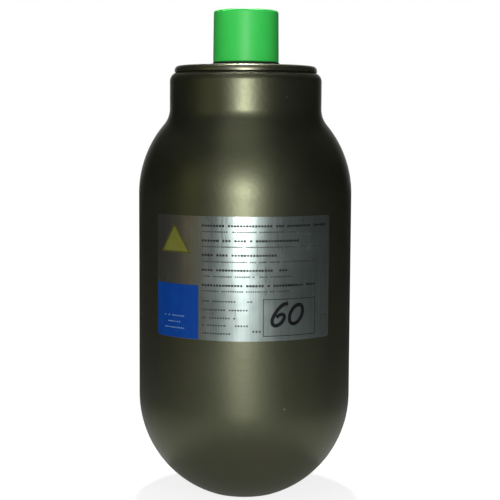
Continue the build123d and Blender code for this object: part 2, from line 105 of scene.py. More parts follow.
class Bench:
    """Adds and links nodes in one shader or geometry tree."""

    def __init__(self, tree: Tree) -> None:
        """Keep the tree to work on."""
        self.tree = tree

    def add(self, kind: str, inputs: dict | None = None, **settings: object) -> Node:
        """Add a node, set its properties and feed its inputs.

        Args:
            kind: the node's type name.
            inputs: input name or number to a value or an output socket.
            settings: properties of the node itself.

        Returns:
            The new node.
        """
        node = self.tree.nodes.new(kind)
        for name, value in settings.items():
            setattr(node, name, value)
        for key, value in (inputs or {}).items():
            self.feed(node.inputs[key], value)
        return node

    def feed(self, socket: Socket, value: object) -> None:
        """Link an output into a socket, or set the socket's own value.

        Args:
            socket: the input to feed.
            value: an output socket or a plain value.
        """
        if isinstance(value, Socket):
            self.tree.links.new(value, socket)
        else:
            socket.default_value = value

    def maths(self, operation: str, first: object, second: object = 0.0) -> Socket:
        """The result of a Math node on one or two values."""
        return self.add("ShaderNodeMath", {0: first, 1: second}, operation=operation).outputs[0]

    def times(self, first: object, second: object) -> Socket:
        """The product of two values."""
        return self.maths("MULTIPLY", first, second)

    def plus(self, first: object, second: object) -> Socket:
        """The sum of two values."""
        return self.maths("ADD", first, second)

    def vector(self, across: object = 0.0, back: object = 0.0, height: object = 0.0) -> Socket:
        """A vector made of its three parts."""
        return self.add("ShaderNodeCombineXYZ", {0: across, 1: back, 2: height}).outputs[0]

    def parts(self, vector: Socket) -> Sequence[Socket]:
        """The three parts of a vector."""
        return self.add("ShaderNodeSeparateXYZ", {0: vector}).outputs

    def object_place(self) -> Socket:
        """The Object coordinates."""
        return self.add("ShaderNodeTexCoord").outputs["Object"]

    def span(self, value: Socket, low: object, high: object, start: float = 0.0, end: float = 1.0) -> Socket:
        """A value mapped from the range low to high to the range start to end."""
        ranges = {"Value": value, "From Min": low, "From Max": high, "To Min": start, "To Max": end}
        return self.add("ShaderNodeMapRange", ranges).outputs["Result"]

    def mix(self, share: Socket, first: Colour | Socket, second: Colour | Socket) -> Socket:
        """Mix two colours.

        Args:
            share: how much of the second colour.
            first: the first colour.
            second: the second colour.

        Returns:
            The mixed colour.
        """
        node = self.add("ShaderNodeMix", {0: share}, data_type="RGBA")
        for number, colour in ((6, first), (7, second)):
            self.feed(node.inputs[number], colour if isinstance(colour, Socket) else (*colour, 1.0))
        return node.outputs[2]


def cleared(owner: Material | bpy.types.World) -> Bench:
    """Give a material or a world an empty node tree.

    Args:
        owner: the material or the world.

    Returns:
        The tree's bench.
    """
    owner.use_nodes = True
    owner.node_tree.nodes.clear()
    return Bench(owner.node_tree)


class Group(Enum):
    """Kinds of node group: the tree's type, and the name and the type of its output."""

    MASK = ("ShaderNodeTree", "Mask", "NodeSocketFloat")
    MESH = ("GeometryNodeTree", "Mesh", "NodeSocketGeometry")


GEOMETRY = "NodeSocketGeometry"
MATERIAL = "NodeSocketMaterial"
NUMBERS = {float: "NodeSocketFloat", int: "NodeSocketInt"}


def new_group(name: str, kind: Group, inputs: dict[str, object]) -> tuple[Bench, Sequence[Socket], Socket]:
    """Make a node group with named inputs and one output.

    Args:
        name: the group's name.
        kind: its kind.
        inputs: input name to a default number, or to a socket type that has none.

    Returns:
        The bench, the given inputs and the socket that takes the result.
    """
    tree_type, output, output_type = kind.value
    tree = bpy.data.node_groups.new(name, tree_type)
    for label, value in inputs.items():
        socket_type = NUMBERS.get(type(value), value)
        made = tree.interface.new_socket(label, in_out="INPUT", socket_type=socket_type)
        if socket_type != value:
            made.default_value = value
    tree.interface.new_socket(output, in_out="OUTPUT", socket_type=output_type)
    bench = Bench(tree)
    return bench, bench.add("NodeGroupInput").outputs, bench.add("NodeGroupOutput").inputs[output]


class Effect(Enum):
    """Surface effects that several finishes share, each a shader node group."""

    GRAIN = "fine_grain"
    CLOUDS = "soft_clouds"
    SPECKS = "small_specks"
    STREAKS = "drawn_streaks"


class Effects:
    """The shared shader groups, each built once."""

    def __init__(self) -> None:
        """Build the four groups."""
        self.groups = {
            Effect.GRAIN: self._noise(Effect.GRAIN, 3.0),
            Effect.CLOUDS: self._noise(Effect.CLOUDS, 5.0),
            Effect.SPECKS: self._specks(),
            Effect.STREAKS: self._streaks(),
        }

    @staticmethod
    def _noise(effect: Effect, detail: float) -> Tree:
        """Make a noise mask between two levels.

        Args:
            effect: which effect this is, for its name.
            detail: octaves of the noise.

        Returns:
            The group.
        """
        bench, given, end = new_group(effect.value, Group.MASK, {"Scale": 100.0, "Low": 0.3, "High": 0.7})
        inputs = {"Vector": bench.object_place(), "Scale": given["Scale"], "Detail": detail}
        noise = bench.add("ShaderNodeTexNoise", inputs)
        bench.feed(end, bench.span(noise.outputs[0], given["Low"], given["High"]))
        return bench.tree

    @staticmethod
    def _specks() -> Tree:
        """Make a mask of scattered small marks with uneven edges.

        Returns:
            The group.
        """
        inputs = {"Scale": 60.0, "Radius": 0.12, "Share": 0.3}
        bench, given, end = new_group(Effect.SPECKS.value, Group.MASK, inputs)
        place = bench.object_place()
        wobble = bench.add("ShaderNodeTexNoise", {"Vector": place, "Scale": 700.0, "Detail": 2.0})
        reach = {0: wobble.outputs["Color"], "Scale": 0.0016}
        shift = bench.add("ShaderNodeVectorMath", reach, operation="SCALE")
        moved = bench.add("ShaderNodeVectorMath", {0: place, 1: shift.outputs[0]}, operation="ADD").outputs[0]
        cells = bench.add("ShaderNodeTexVoronoi", {"Vector": moved, "Scale": given["Scale"]})
        near = bench.maths("LESS_THAN", cells.outputs["Distance"], given["Radius"])
        tint = bench.add("ShaderNodeSeparateColor", {0: cells.outputs["Color"]}).outputs[0]
        bench.feed(end, bench.times(near, bench.maths("LESS_THAN", tint, given["Share"])))
        return bench.tree

    @staticmethod
    def _streaks() -> Tree:
        """Make a mask of fine lines along the height.

        Returns:
            The group.
        """
        bench, given, end = new_group(Effect.STREAKS.value, Group.MASK, {"Scale": 900.0, "Stretch": 0.03})
        squeeze = bench.vector(1.0, 1.0, given["Stretch"])
        drawn = bench.add("ShaderNodeVectorMath", {0: bench.object_place(), 1: squeeze}, operation="MULTIPLY")
        inputs = {"Vector": drawn.outputs[0], "Scale": given["Scale"], "Detail": 3.0}
        noise = bench.add("ShaderNodeTexNoise", inputs)
        bench.feed(end, bench.span(noise.outputs[0], 0.3, 0.7))
        return bench.tree


# ---------------------------------------------------------------- finishes


class Palette(Bench):
    """A material's bench, which also places the shared effects."""

    def __init__(self, tree: Tree, effects: Effects) -> None:
        """Keep the tree and the effects."""
        super().__init__(tree)
        self.effects = effects

    def effect(self, effect: Effect, **inputs: float) -> Socket:
        """The mask of an effect that is placed with these values."""
        return self.add("ShaderNodeGroup", inputs, node_tree=self.effects.groups[effect]).outputs["Mask"]


class Layers(NamedTuple):
    """What a finish feeds its shader: colour, roughness, and a bump's height, depth (metres) and strength."""

    colour: Socket
    rough: Socket
    height: Socket
    depth: float
    strength: float


class Finish:
    """A procedural finish on one Principled shader, whose plain values are in SHADER."""

    SHADER: ClassVar[dict[str, float]] = {}
    name: str

    def layers(self, palette: Palette) -> Layers:
        """The layers of the finish, which each kind wires in its own way."""
        raise NotImplementedError

    def make(self, effects: Effects) -> Material:
        """Build the material.

        Args:
            effects: the shared shader groups.

        Returns:
            The material.
        """
        material = bpy.data.materials.new(self.name)
        palette = Palette(cleared(material).tree, effects)
        colour, rough, height, depth, strength = self.layers(palette)
        bump = palette.add("ShaderNodeBump", {"Height": height, "Distance": depth, "Strength": strength})
        inputs = {"Base Color": colour, "Roughness": rough, "Normal": bump.outputs[0], **self.SHADER}
        shader = palette.add("ShaderNodeBsdfPrincipled", inputs)
        palette.add("ShaderNodeOutputMaterial", {0: shader.outputs[0]})
        return material


@dataclass(frozen=True)
class Paint(Finish):
    """Satin sprayed paint with dust, small chips and an uneven sheen."""

    SHADER: ClassVar[dict[str, float]] = {"Metallic": 0.94}
    name: str
    colour: Colour
    dusty: Colour
    chip: Colour
    chips: float
    rough: float = 0.33

    def layers(self, palette: Palette) -> Layers:
        """Wire dust, then chips, over the colour.

        Args:
            palette: the material's bench.

        Returns:
            The layers.
        """
        clouds = palette.effect(Effect.CLOUDS, Scale=26.0, Low=0.35, High=0.75)
        grain = palette.effect(Effect.GRAIN, Scale=1500.0, Low=0.25, High=0.75)
        specks = palette.effect(Effect.SPECKS, Scale=95.0, Radius=0.05, Share=self.chips)
        peel = palette.effect(Effect.GRAIN, Scale=520.0, Low=0.2, High=0.8)
        tinted = palette.mix(palette.times(clouds, 0.5), self.colour, self.dusty)
        grained = palette.mix(palette.times(grain, 0.4), tinted, self.dusty)
        uneven = palette.plus(palette.times(clouds, 0.07), palette.times(grain, 0.08))
        height = palette.maths("SUBTRACT", peel, palette.times(specks, 0.8))
        colour = palette.mix(specks, grained, self.chip)
        return Layers(colour, palette.plus(uneven, self.rough), height, 0.00004, 0.7)


@dataclass(frozen=True)
class Metal(Finish):
    """Bare or plated metal with drawn or turned lines."""

    SHADER: ClassVar[dict[str, float]] = {"Metallic": 1.0}
    name: str
    colour: Colour
    dark: Colour
    rough: float
    line_scale: float
    stretch: float

    def layers(self, palette: Palette) -> Layers:
        """Wire the lines and a soft cloudiness.

        Args:
            palette: the material's bench.

        Returns:
            The layers.
        """
        lines = palette.effect(Effect.STREAKS, Scale=self.line_scale, Stretch=self.stretch)
        clouds = palette.effect(Effect.CLOUDS, Scale=120.0, Low=0.35, High=0.8)
        colour = palette.mix(palette.times(palette.plus(lines, clouds), 0.35), self.colour, self.dark)
        return Layers(colour, palette.plus(palette.times(lines, 0.14), self.rough), lines, 0.00001, 0.5)


@dataclass(frozen=True)
class Soft(Finish):
    """Moulded plastic or rubber with a fine matt grain."""

    name: str
    colour: Colour
    pale: Colour
    rough: float
    grain_scale: float = 1400.0

    def layers(self, palette: Palette) -> Layers:
        """Wire the grain and a soft cloudiness.

        Args:
            palette: the material's bench.

        Returns:
            The layers.
        """
        clouds = palette.effect(Effect.CLOUDS, Scale=60.0, Low=0.35, High=0.75)
        grain = palette.effect(Effect.GRAIN, Scale=self.grain_scale, Low=0.25, High=0.75)
        colour = palette.mix(palette.times(palette.plus(clouds, grain), 0.25), self.colour, self.pale)
        return Layers(colour, palette.plus(palette.times(grain, 0.1), self.rough), grain, 0.000015, 0.5)


@dataclass(frozen=True)
class Foil(Finish):
    """Brushed label foil, with a painted warm reflection tinting its left side brown."""

    SHADER: ClassVar[dict[str, float]] = {"Metallic": 0.95}
    name: str = "brushed_foil"
    bright: Colour = (0.40, 0.46, 0.44)
    dull: Colour = (0.17, 0.225, 0.21)
    # brown of a painted warm reflection on the left side, and where it starts and where it is full
    painted_warm_reflection: Colour = (0.25, 0.185, 0.155)
    rough: float = 0.25
    warm_reflection_start: float = -0.016
    warm_reflection_full: float = -0.028

    def layers(self, palette: Palette) -> Layers:
        """Wire the brushed lines, the painted warm reflection on the left and shallow waves.

        Args:
            palette: the material's bench.

        Returns:
            The layers.
        """
        streaks = palette.effect(Effect.STREAKS, Scale=900.0, Stretch=0.02)
        bands = palette.effect(Effect.STREAKS, Scale=190.0, Stretch=0.06)
        blots = palette.effect(Effect.CLOUDS, Scale=70.0, Low=0.4, High=0.7)
        waves = palette.effect(Effect.CLOUDS, Scale=110.0, Low=0.3, High=0.7)
        brushed = palette.plus(streaks, bands)
        silver = palette.mix(palette.times(brushed, 0.3), self.bright, self.dull)
        # painted reflection: a brownish tint towards the left side, blotched by clouds, stands in for warm
        # light mirrored there
        left = palette.span(palette.parts(palette.object_place())[0], self.warm_reflection_start, self.warm_reflection_full)
        warm_reflection_share = palette.times(left, palette.plus(palette.times(blots, 0.35), 0.5))
        uneven = palette.plus(palette.times(streaks, 0.12), palette.times(blots, 0.08))
        height = palette.plus(brushed, palette.times(waves, 7.0))
        colour = palette.mix(warm_reflection_share, silver, self.painted_warm_reflection)
        return Layers(colour, palette.plus(uneven, self.rough), height, 0.00001, 0.8)


@dataclass(frozen=True)
class Ink(Finish):
    """Print on the foil, worn thin in places."""

    SHADER: ClassVar[dict[str, float]] = {"Metallic": 0.0, "Specular IOR Level": 0.3}
    name: str
    colour: Colour
    worn: Colour
    wear: float
    rough: float = 0.38

    def layers(self, palette: Palette) -> Layers:
        """Wire the worn places.

        Args:
            palette: the material's bench.

        Returns:
            The layers.
        """
        clouds = palette.effect(Effect.CLOUDS, Scale=180.0, Low=0.4, High=0.75)
        streaks = palette.effect(Effect.STREAKS, Scale=500.0, Stretch=0.1)
        colour = palette.mix(palette.times(palette.times(clouds, streaks), self.wear), self.colour, self.worn)
        return Layers(colour, palette.plus(palette.times(streaks, 0.12), self.rough), streaks, 0.000008, 0.5)


OLIVE: Colour = (0.118, 0.124, 0.076)
OLIVE_DUST: Colour = (0.16, 0.166, 0.108)
# painted highlight: the plug's olive and its dust are lighter copies of the shell's paint, standing in for
# the plug's brighter lit top
PLUG: Colour = (0.17, 0.175, 0.12)
PLUG_DUST_AND_HIGHLIGHT: Colour = (0.24, 0.24, 0.17)
FINISHES = {
    Slot.SHELL: Paint("olive_paint", OLIVE, OLIVE_DUST, (0.3, 0.3, 0.24), 0.1),
    # the plug's paint, lighter than the shell's and with lighter chips, is a painted highlight
    Slot.PLUG: Paint("olive_plug_paint_highlighted", PLUG, PLUG_DUST_AND_HIGHLIGHT, (0.36, 0.35, 0.3), 0.2, 0.27),
    Slot.ZINC: Metal("zinc_plate", (0.66, 0.66, 0.64), (0.4, 0.4, 0.38), 0.28, 700.0, 0.5),
    Slot.PORT: Metal("turned_steel", (0.5, 0.5, 0.49), (0.26, 0.26, 0.25), 0.3, 500.0, 6.0),
    Slot.SPRING: Metal("spring_wire", (0.42, 0.42, 0.44), (0.2, 0.2, 0.21), 0.24, 900.0, 1.0),
    Slot.BRASS: Metal("turned_brass", (0.78, 0.56, 0.24), (0.45, 0.3, 0.12), 0.25, 900.0, 5.0),
    Slot.CAP: Soft("green_cap_plastic", (0.05, 0.84, 0.115), (0.10, 0.90, 0.18), 0.42),
    Slot.SEAL: Soft("seal_rubber", (0.012, 0.012, 0.012), (0.03, 0.03, 0.03), 0.55),
    Slot.BLADDER: Soft("bladder_rubber", (0.015, 0.015, 0.015), (0.035, 0.035, 0.035), 0.6, 600.0),
    Slot.BACKUP: Soft("backup_ring_plastic", (0.78, 0.77, 0.72), (0.86, 0.85, 0.82), 0.5),
    Slot.LABEL: Foil(),
}
BLACK_INK = Ink("black_ink", (0.006, 0.007, 0.006), (0.05, 0.055, 0.05), 0.5)
GREY_INK = Ink("grey_ink", (0.045, 0.05, 0.047), (0.13, 0.14, 0.135), 0.7)
BLUE_INK = Ink("blue_ink", (0.0, 0.05, 0.31), (0.0, 0.09, 0.42), 0.5)
YELLOW_INK = Ink("yellow_ink", (0.17, 0.175, 0.028), (0.25, 0.25, 0.07), 0.5)
RIM_INK = Ink("dark_yellow_ink", (0.075, 0.075, 0.014), (0.14, 0.14, 0.04), 0.5)
OLIVE_INK = Ink("dark_olive_ink", (0.03, 0.03, 0.012), (0.08, 0.08, 0.04), 0.4)
PALE_INK = Ink("pale_ink", (0.20, 0.33, 0.52), (0.06, 0.16, 0.42), 0.9)
MARKER_INK = Ink("marker_ink", (0.006, 0.006, 0.007), (0.03, 0.03, 0.035), 0.3, 0.3)

# ---------------------------------------------------------------- geometry node trees


class Trees:
    """The geometry node trees, each built once."""

    DASHES: ClassVar[tuple[Point, ...]] = ((1.0, 0.5), (0.9, 0.5), (1.0, 0.42))  # shares of a block's size

    def __init__(self) -> None:
        """Build the bend that two trees share, then the trees."""
        self.wrap = self._wrap()
        self.lathe = self._lathe()
        self.dashes = self._dashes()
        self.strokes = self._strokes()
        self.coil = self._coil()

    @staticmethod
    def _close(bench: Bench, given: Sequence[Socket], end: Socket, mesh: Socket) -> Tree:
        """End a tree: make the mesh real, give it its material and put it out.

        Args:
            bench: the tree's bench.
            given: the group's inputs, with one named Material.
            end: the socket that takes the result.
            mesh: the mesh so far.

        Returns:
            The tree.
        """
        whole = bench.add("GeometryNodeRealizeInstances", {"Geometry": mesh}).outputs[0]
        dressed = bench.add("GeometryNodeSetMaterial", {"Geometry": whole, "Material": given["Material"]})
        bench.feed(end, dressed.outputs[0])
        return bench.tree

    @staticmethod
    def _wrap() -> Tree:
        """Make the bend of flat print, at (along, -lift, height), onto the round wall.

        Returns:
            The tree.
        """
        bench, given, end = new_group("wrap_on_wall", Group.MESH, {"Flat": GEOMETRY, "Radius": 0.057})
        flat = bench.parts(bench.add("GeometryNodeInputPosition").outputs[0])
        turn = bench.maths("DIVIDE", flat[0], given["Radius"])
        reach = bench.maths("SUBTRACT", given["Radius"], flat[1])
        across = bench.times(reach, bench.maths("SINE", turn))
        front = bench.times(bench.times(reach, bench.maths("COSINE", turn)), -1.0)
        spot = bench.vector(across, front, flat[2])
        moved = bench.add("GeometryNodeSetPosition", {"Geometry": given["Flat"], "Position": spot})
        bench.feed(end, moved.outputs[0])
        return bench.tree

    def _bend(self, bench: Bench, given: Sequence[Socket], flat: Socket) -> Socket:
        """The flat print bent onto the wall."""
        inputs = {"Flat": flat, "Radius": given["Radius"]}
        return bench.add("GeometryNodeGroup", inputs, node_tree=self.wrap).outputs[0]

    def _lathe(self) -> Tree:
        """Make the tree that turns an outline of (radius, height) points about the axis.

        Returns:
            The tree.
        """
        inputs = {"Outline": GEOMETRY, "Segments": 96, "Points": 8, "Closing Step": 1, "Material": MATERIAL}
        bench, given, end = new_group("turned_outline", Group.MESH, inputs)
        points, segments = given["Points"], given["Segments"]
        rows = bench.plus(points, given["Closing Step"])
        sizes = {"Vertices X": bench.plus(segments, 1.0), "Vertices Y": rows}
        grid = bench.add("GeometryNodeMeshGrid", sizes).outputs[0]
        index = bench.add("GeometryNodeInputIndex").outputs[0]
        column = bench.maths("FLOOR", bench.maths("DIVIDE", bench.plus(index, 0.5), rows))
        row = bench.maths("MODULO", bench.maths("SUBTRACT", index, bench.times(column, rows)), points)
        place = bench.add("GeometryNodeInputPosition").outputs[0]
        source = {"Geometry": given["Outline"], "Value": place, "Index": bench.maths("ROUND", row)}
        sample = bench.add("GeometryNodeSampleIndex", source, data_type="FLOAT_VECTOR", domain="POINT")
        outline = bench.parts(sample.outputs[0])
        turn = bench.times(bench.maths("DIVIDE", column, segments), math.tau)
        across = bench.times(outline[0], bench.maths("SINE", turn))
        back = bench.times(outline[0], bench.maths("COSINE", turn))
        spot = bench.vector(across, back, outline[2])
        placed = bench.add("GeometryNodeSetPosition", {"Geometry": grid, "Position": spot}).outputs[0]
        welded = bench.add("GeometryNodeMergeByDistance", {"Geometry": placed, "Distance": WELD}).outputs[0]
        return self._close(bench, given, end, welded)

    def _dashes(self) -> Tree:
        """Make the tree that lays plain dashes of ink along lines, in groups of uneven length.

        Returns:
            The tree.
        """
        inputs = {
            "Lines": GEOMETRY,
            "Pitch": 0.0016,
            "Block Width": 0.0012,
            "Block Height": 0.002,
            "Thickness": 0.00003,
            "Filled Share": 0.86,
            "Radius": 0.057,
            "Seed": 1,
            "Material": MATERIAL,
        }
        bench, given, end = new_group("printed_lines", Group.MESH, inputs)
        curve = bench.add("GeometryNodeMeshToCurve", {"Mesh": given["Lines"]}).outputs[0]
        spacing = {"Curve": curve, "Length": given["Pitch"]}
        spaced_points = bench.add("GeometryNodeResampleCurve", spacing, mode="LENGTH").outputs[0]
        shapes = bench.add("GeometryNodeGeometryToInstance")
        for wide, tall in self.DASHES:
            width, height = bench.times(given["Block Width"], wide), bench.times(given["Block Height"], tall)
            size = bench.vector(width, given["Thickness"], height)
            cube = bench.add("GeometryNodeMeshCube", {"Size": size})
            bench.tree.links.new(cube.outputs[0], shapes.inputs[0])
        chance = {"Probability": given["Filled Share"], "Seed": given["Seed"]}
        filled = bench.add("FunctionNodeRandomValue", chance, data_type="BOOLEAN")
        sizes = {0: (0.82, 1.0, 0.94), 1: (1.08, 1.0, 1.0), "Seed": bench.plus(given["Seed"], 17.0)}
        uneven = bench.add("FunctionNodeRandomValue", sizes, data_type="FLOAT_VECTOR")
        choice = {4: 0, 5: len(self.DASHES) - 1, "Seed": bench.plus(given["Seed"], 41.0)}
        which = bench.add("FunctionNodeRandomValue", choice, data_type="INT")
        laying = {
            "Points": spaced_points,
            "Selection": filled.outputs[3],
            "Instance": shapes.outputs[0],
            "Pick Instance": True,
            "Instance Index": which.outputs[2],
            "Scale": uneven.outputs[0],
        }
        laid = bench.add("GeometryNodeInstanceOnPoints", laying).outputs[0]
        whole = bench.add("GeometryNodeRealizeInstances", {"Geometry": laid}).outputs[0]
        return self._close(bench, given, end, self._bend(bench, given, whole))

    def _strokes(self) -> Tree:
        """Make the tree that draws flat marker strokes along lines.

        Returns:
            The tree.
        """
        inputs = {
            "Strokes": GEOMETRY,
            "Width": 0.0019,
            "Thickness": 0.00003,
            "Lift": 0.0001,
            "Radius": 0.057,
            "Material": MATERIAL,
        }
        bench, given, end = new_group("marker_strokes", Group.MESH, inputs)
        curve = bench.add("GeometryNodeMeshToCurve", {"Mesh": given["Strokes"]}).outputs[0]
        circle = {"Resolution": 10, "Radius": bench.times(given["Width"], 0.5)}
        tip = bench.add("GeometryNodeCurvePrimitiveCircle", circle).outputs[0]
        sweep = {"Curve": curve, "Profile Curve": tip, "Fill Caps": True}
        swept = bench.add("GeometryNodeCurveToMesh", sweep)
        thick = bench.parts(bench.add("GeometryNodeInputPosition").outputs[0])
        pressed = bench.times(thick[1], bench.maths("DIVIDE", given["Thickness"], given["Width"]))
        spot = bench.vector(thick[0], bench.maths("SUBTRACT", pressed, given["Lift"]), thick[2])
        placing = {"Geometry": swept.outputs[0], "Position": spot}
        flat = bench.add("GeometryNodeSetPosition", placing).outputs[0]
        return self._close(bench, given, end, self._bend(bench, given, flat))

    def _coil(self) -> Tree:
        """Make the tree that winds a round section about the axis.

        Returns:
            The tree.
        """
        inputs = {
            "Start": GEOMETRY,
            "Turns": 6.0,
            "Steps": 48,
            "Radius": 0.009,
            "Rise": 0.01,
            "Foot": 0.0,
            "Section": 0.0004,
            "Section Sides": 6,
            "Material": MATERIAL,
        }
        bench, given, end = new_group("wound_coil", Group.MESH, inputs)
        path = {
            "Resolution": given["Steps"],
            "Rotations": given["Turns"],
            "Start Radius": given["Radius"],
            "End Radius": given["Radius"],
            "Height": given["Rise"],
        }
        coil = bench.add("GeometryNodeCurveSpiral", path).outputs[0]
        circle = {"Resolution": given["Section Sides"], "Radius": given["Section"]}
        section = bench.add("GeometryNodeCurvePrimitiveCircle", circle).outputs[0]
        sweep = {"Curve": coil, "Profile Curve": section, "Fill Caps": True}
        swept = bench.add("GeometryNodeCurveToMesh", sweep)
        foot = {"Geometry": swept.outputs[0], "Offset": bench.vector(height=given["Foot"])}
        raised = bench.add("GeometryNodeSetPosition", foot).outputs[0]
        return self._close(bench, given, end, raised)


# ---------------------------------------------------------------- mesh helpers


def new_object(name: str, mesh: Mesh) -> Piece:
    """Put a mesh in the scene as an object at the origin.

    Args:
        name: the piece's name.
        mesh: its mesh.

    Returns:
        The object.
    """
    piece = bpy.data.objects.new(name, mesh)
    bpy.context.scene.collection.objects.link(piece)
    return piece


def polyline_mesh(name: str, chains: Iterable[Sequence[Point]]) -> Mesh:
    """Make a mesh of open chains of points in the plane of the axis.

    Args:
        name: the mesh's name.
        chains: lists of (across, height) points in millimetres.

    Returns:
        The mesh, in metres.
    """
    spots: list[tuple[float, float, float]] = []
    edges: list[tuple[int, int]] = []
    for chain in chains:
        first = len(spots)
        spots += [(across * MM, 0.0, height * MM) for across, height in chain]
        edges += [(first + step, first + step + 1) for step in range(len(chain) - 1)]
    mesh = bpy.data.meshes.new(name)
    mesh.from_pydata(spots, edges, [])
    return mesh


def grow(name: str, start: Mesh, tree: Tree, inputs: dict[str, object]) -> Piece:
    """Run a geometry tree on a mesh and keep the result as a plain mesh.

    Args:
        name: the piece's name.
        start: the mesh that the tree starts from.
        tree: the geometry node tree.
        inputs: socket name to value.

    Returns:
        The piece, with no modifier left.
    """
    piece = new_object(name, start)
    modifier = piece.modifiers.new("grow", "NODES")
    modifier.node_group = tree
    for item in tree.interface.items_tree:
        if item.item_type == "SOCKET" and item.in_out == "INPUT" and item.name in inputs:
            modifier[item.identifier] = inputs[item.name]
    depsgraph = bpy.context.evaluated_depsgraph_get()
    made = bpy.data.meshes.new_from_object(piece.evaluated_get(depsgraph), depsgraph=depsgraph)
    piece.modifiers.clear()
    piece.data = made
    made.name = name
    return piece


def tidy_mesh(mesh: Mesh, weld: float = WELD, smooth: bool = True) -> None:
    """Weld a closed mesh, turn its faces outwards and shade it.

    Args:
        mesh: the mesh.
        weld: points nearer than this become one.
        smooth: shade smooth, with edges past the smoothing angle kept sharp.
    """
    work = bmesh.new()
    work.from_mesh(mesh)
    bmesh.ops.remove_doubles(work, verts=work.verts, dist=weld)
    bmesh.ops.dissolve_degenerate(work, edges=work.edges, dist=weld)
    bmesh.ops.recalc_face_normals(work, faces=work.faces)
    work.to_mesh(mesh)
    work.free()
    for face in mesh.polygons:
        face.use_smooth = smooth
    if smooth:
        mesh.set_sharp_from_angle(angle=SMOOTH_ANGLE)


def part_level_faces(mesh: Mesh) -> None:
    """Keep level faces flat where they meet a rounded edge, so that long thin faces shade evenly.

    Args:
        mesh: a smooth-shaded mesh.
    """
    work = bmesh.new()
    work.from_mesh(mesh)
    for edge in work.edges:
        if len({abs(face.normal.z) > LEVEL for face in edge.link_faces}) == 2:
            edge.smooth = False
    work.to_mesh(mesh)
    work.free()


def arc(centre: Point, radius: float, start: float, end: float, step: float = 3.0) -> list[Point]:
    """Points on a round stretch of an outline.

    Args:
        centre: the arc's centre.
        radius: its radius.
        start: angle of its first point, in degrees.
        end: angle of its last point, in degrees.
        step: largest angle between points.

    Returns:
        The points, both ends included.
    """
    count = max(2, math.ceil(abs(end - start) / step))
    angles = [math.radians(start + (end - start) * part / count) for part in range(count + 1)]
    return [(centre[0] + radius * math.cos(a), centre[1] + radius * math.sin(a)) for a in angles]


def spaced(low: float, high: float, step: float) -> list[float]:
    """Evenly spaced values from low to high, both included and no further apart than step."""
    count = max(1, math.ceil((high - low) / step))
    return [low + (high - low) * part / count for part in range(count + 1)]


def levels(node: str) -> tuple[float, float]:
    """Heights of a CAD node's lowest and highest point, in millimetres."""
    low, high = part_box(node)
    return low.z / MM, high.z / MM


@dataclass(frozen=True)
class Coil:
    """A round section wound about the axis, in millimetres: a thread's ridge or a spring's wire.

    Attributes:
        turns: number of turns.
        radius: middle of the section from the axis.
        rise: how much higher its upper end is.
        foot: height of its lower end.
        section: the section's radius.
        steps: parts of one turn.
        sides: sides of the section.
    """

    turns: float
    radius: float
    rise: float
    foot: float
    section: float
    steps: int
    sides: int = 6


class Workshop:
    """What every sub-assembly uses: materials, trees and ways to make a piece."""

    def __init__(self) -> None:
        """Build the shared groups and trees, and start with no material made."""
        self.effects = Effects()
        self.trees = Trees()
        self.made: dict[Finish, Material] = {}

    def material(self, finish: Finish | Slot) -> Material:
        """The material of a finish or of a slot's finish, made when first asked for.

        Args:
            finish: the finish, or the slot that has one.

        Returns:
            The material.
        """
        finish = FINISHES[finish] if isinstance(finish, Slot) else finish
        if finish not in self.made:
            self.made[finish] = finish.make(self.effects)
        return self.made[finish]

    def fit(self, piece: Piece, body: Body, slot: Slot, *nodes: str) -> None:
        """Put a finished piece on its body and let it stand for CAD nodes.

        Args:
            piece: the finished piece.
            body: the body that it rides on.
            slot: the record's slot; not used.
            nodes: CAD nodes that it replaces.
        """
        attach(piece, body.value)
        if nodes:
            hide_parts(*nodes)
        log.info("%s: %d faces on %s", piece.name, len(piece.data.polygons), body.value)

    def turn(self, name: str, outline: Sequence[Point], slot: Slot, segments: int,
             closed: bool = True) -> Piece:
        """Turn an outline into a solid of revolution.

        Args:
            name: the piece's name.
            outline: (radius, height) points in millimetres.
            slot: the finish.
            segments: faces round the axis.
            closed: join the last point to the first, which isn't wanted where both are on the axis.

        Returns:
            The piece.
        """
        inputs = {
            "Segments": segments,
            "Points": len(outline),
            "Closing Step": int(closed),
            "Material": self.material(slot),
        }
        piece = grow(name, polyline_mesh(name, [outline]), self.trees.lathe, inputs)
        tidy_mesh(piece.data)
        return piece

    def wind(self, name: str, coil: Coil, slot: Slot) -> Piece:
        """Wind a thread's ridge or a spring.

        Args:
            name: the piece's name.
            coil: its shape.
            slot: the finish.

        Returns:
            The piece.
        """
        inputs = {
            "Turns": coil.turns,
            "Steps": coil.steps,
            "Radius": coil.radius * MM,
            "Rise": coil.rise * MM,
            "Foot": coil.foot * MM,
            "Section": coil.section * MM,
            "Section Sides": coil.sides,
            "Material": self.material(slot),
        }
        piece = grow(name, bpy.data.meshes.new(name), self.trees.coil, inputs)
        tidy_mesh(piece.data)
        return piece

    def smooth_copy(self, node: str, name: str, body: Body, slot: Slot) -> None:
        """Weld and smooth a copy of a CAD node, which then stands for it.

        Args:
            node: the CAD node.
            name: the new piece's name.
            body: the body that it rides on.
            slot: the finish.
        """
        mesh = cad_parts[node].data.copy()
        mesh.name = name
        mesh.materials.clear()
        mesh.materials.append(self.material(slot))
        piece = new_object(name, mesh)
        tidy_mesh(mesh, COPY_WELD)
        part_level_faces(mesh)
        self.fit(piece, body, slot, node)


# ---------------------------------------------------------------- sub-assemblies


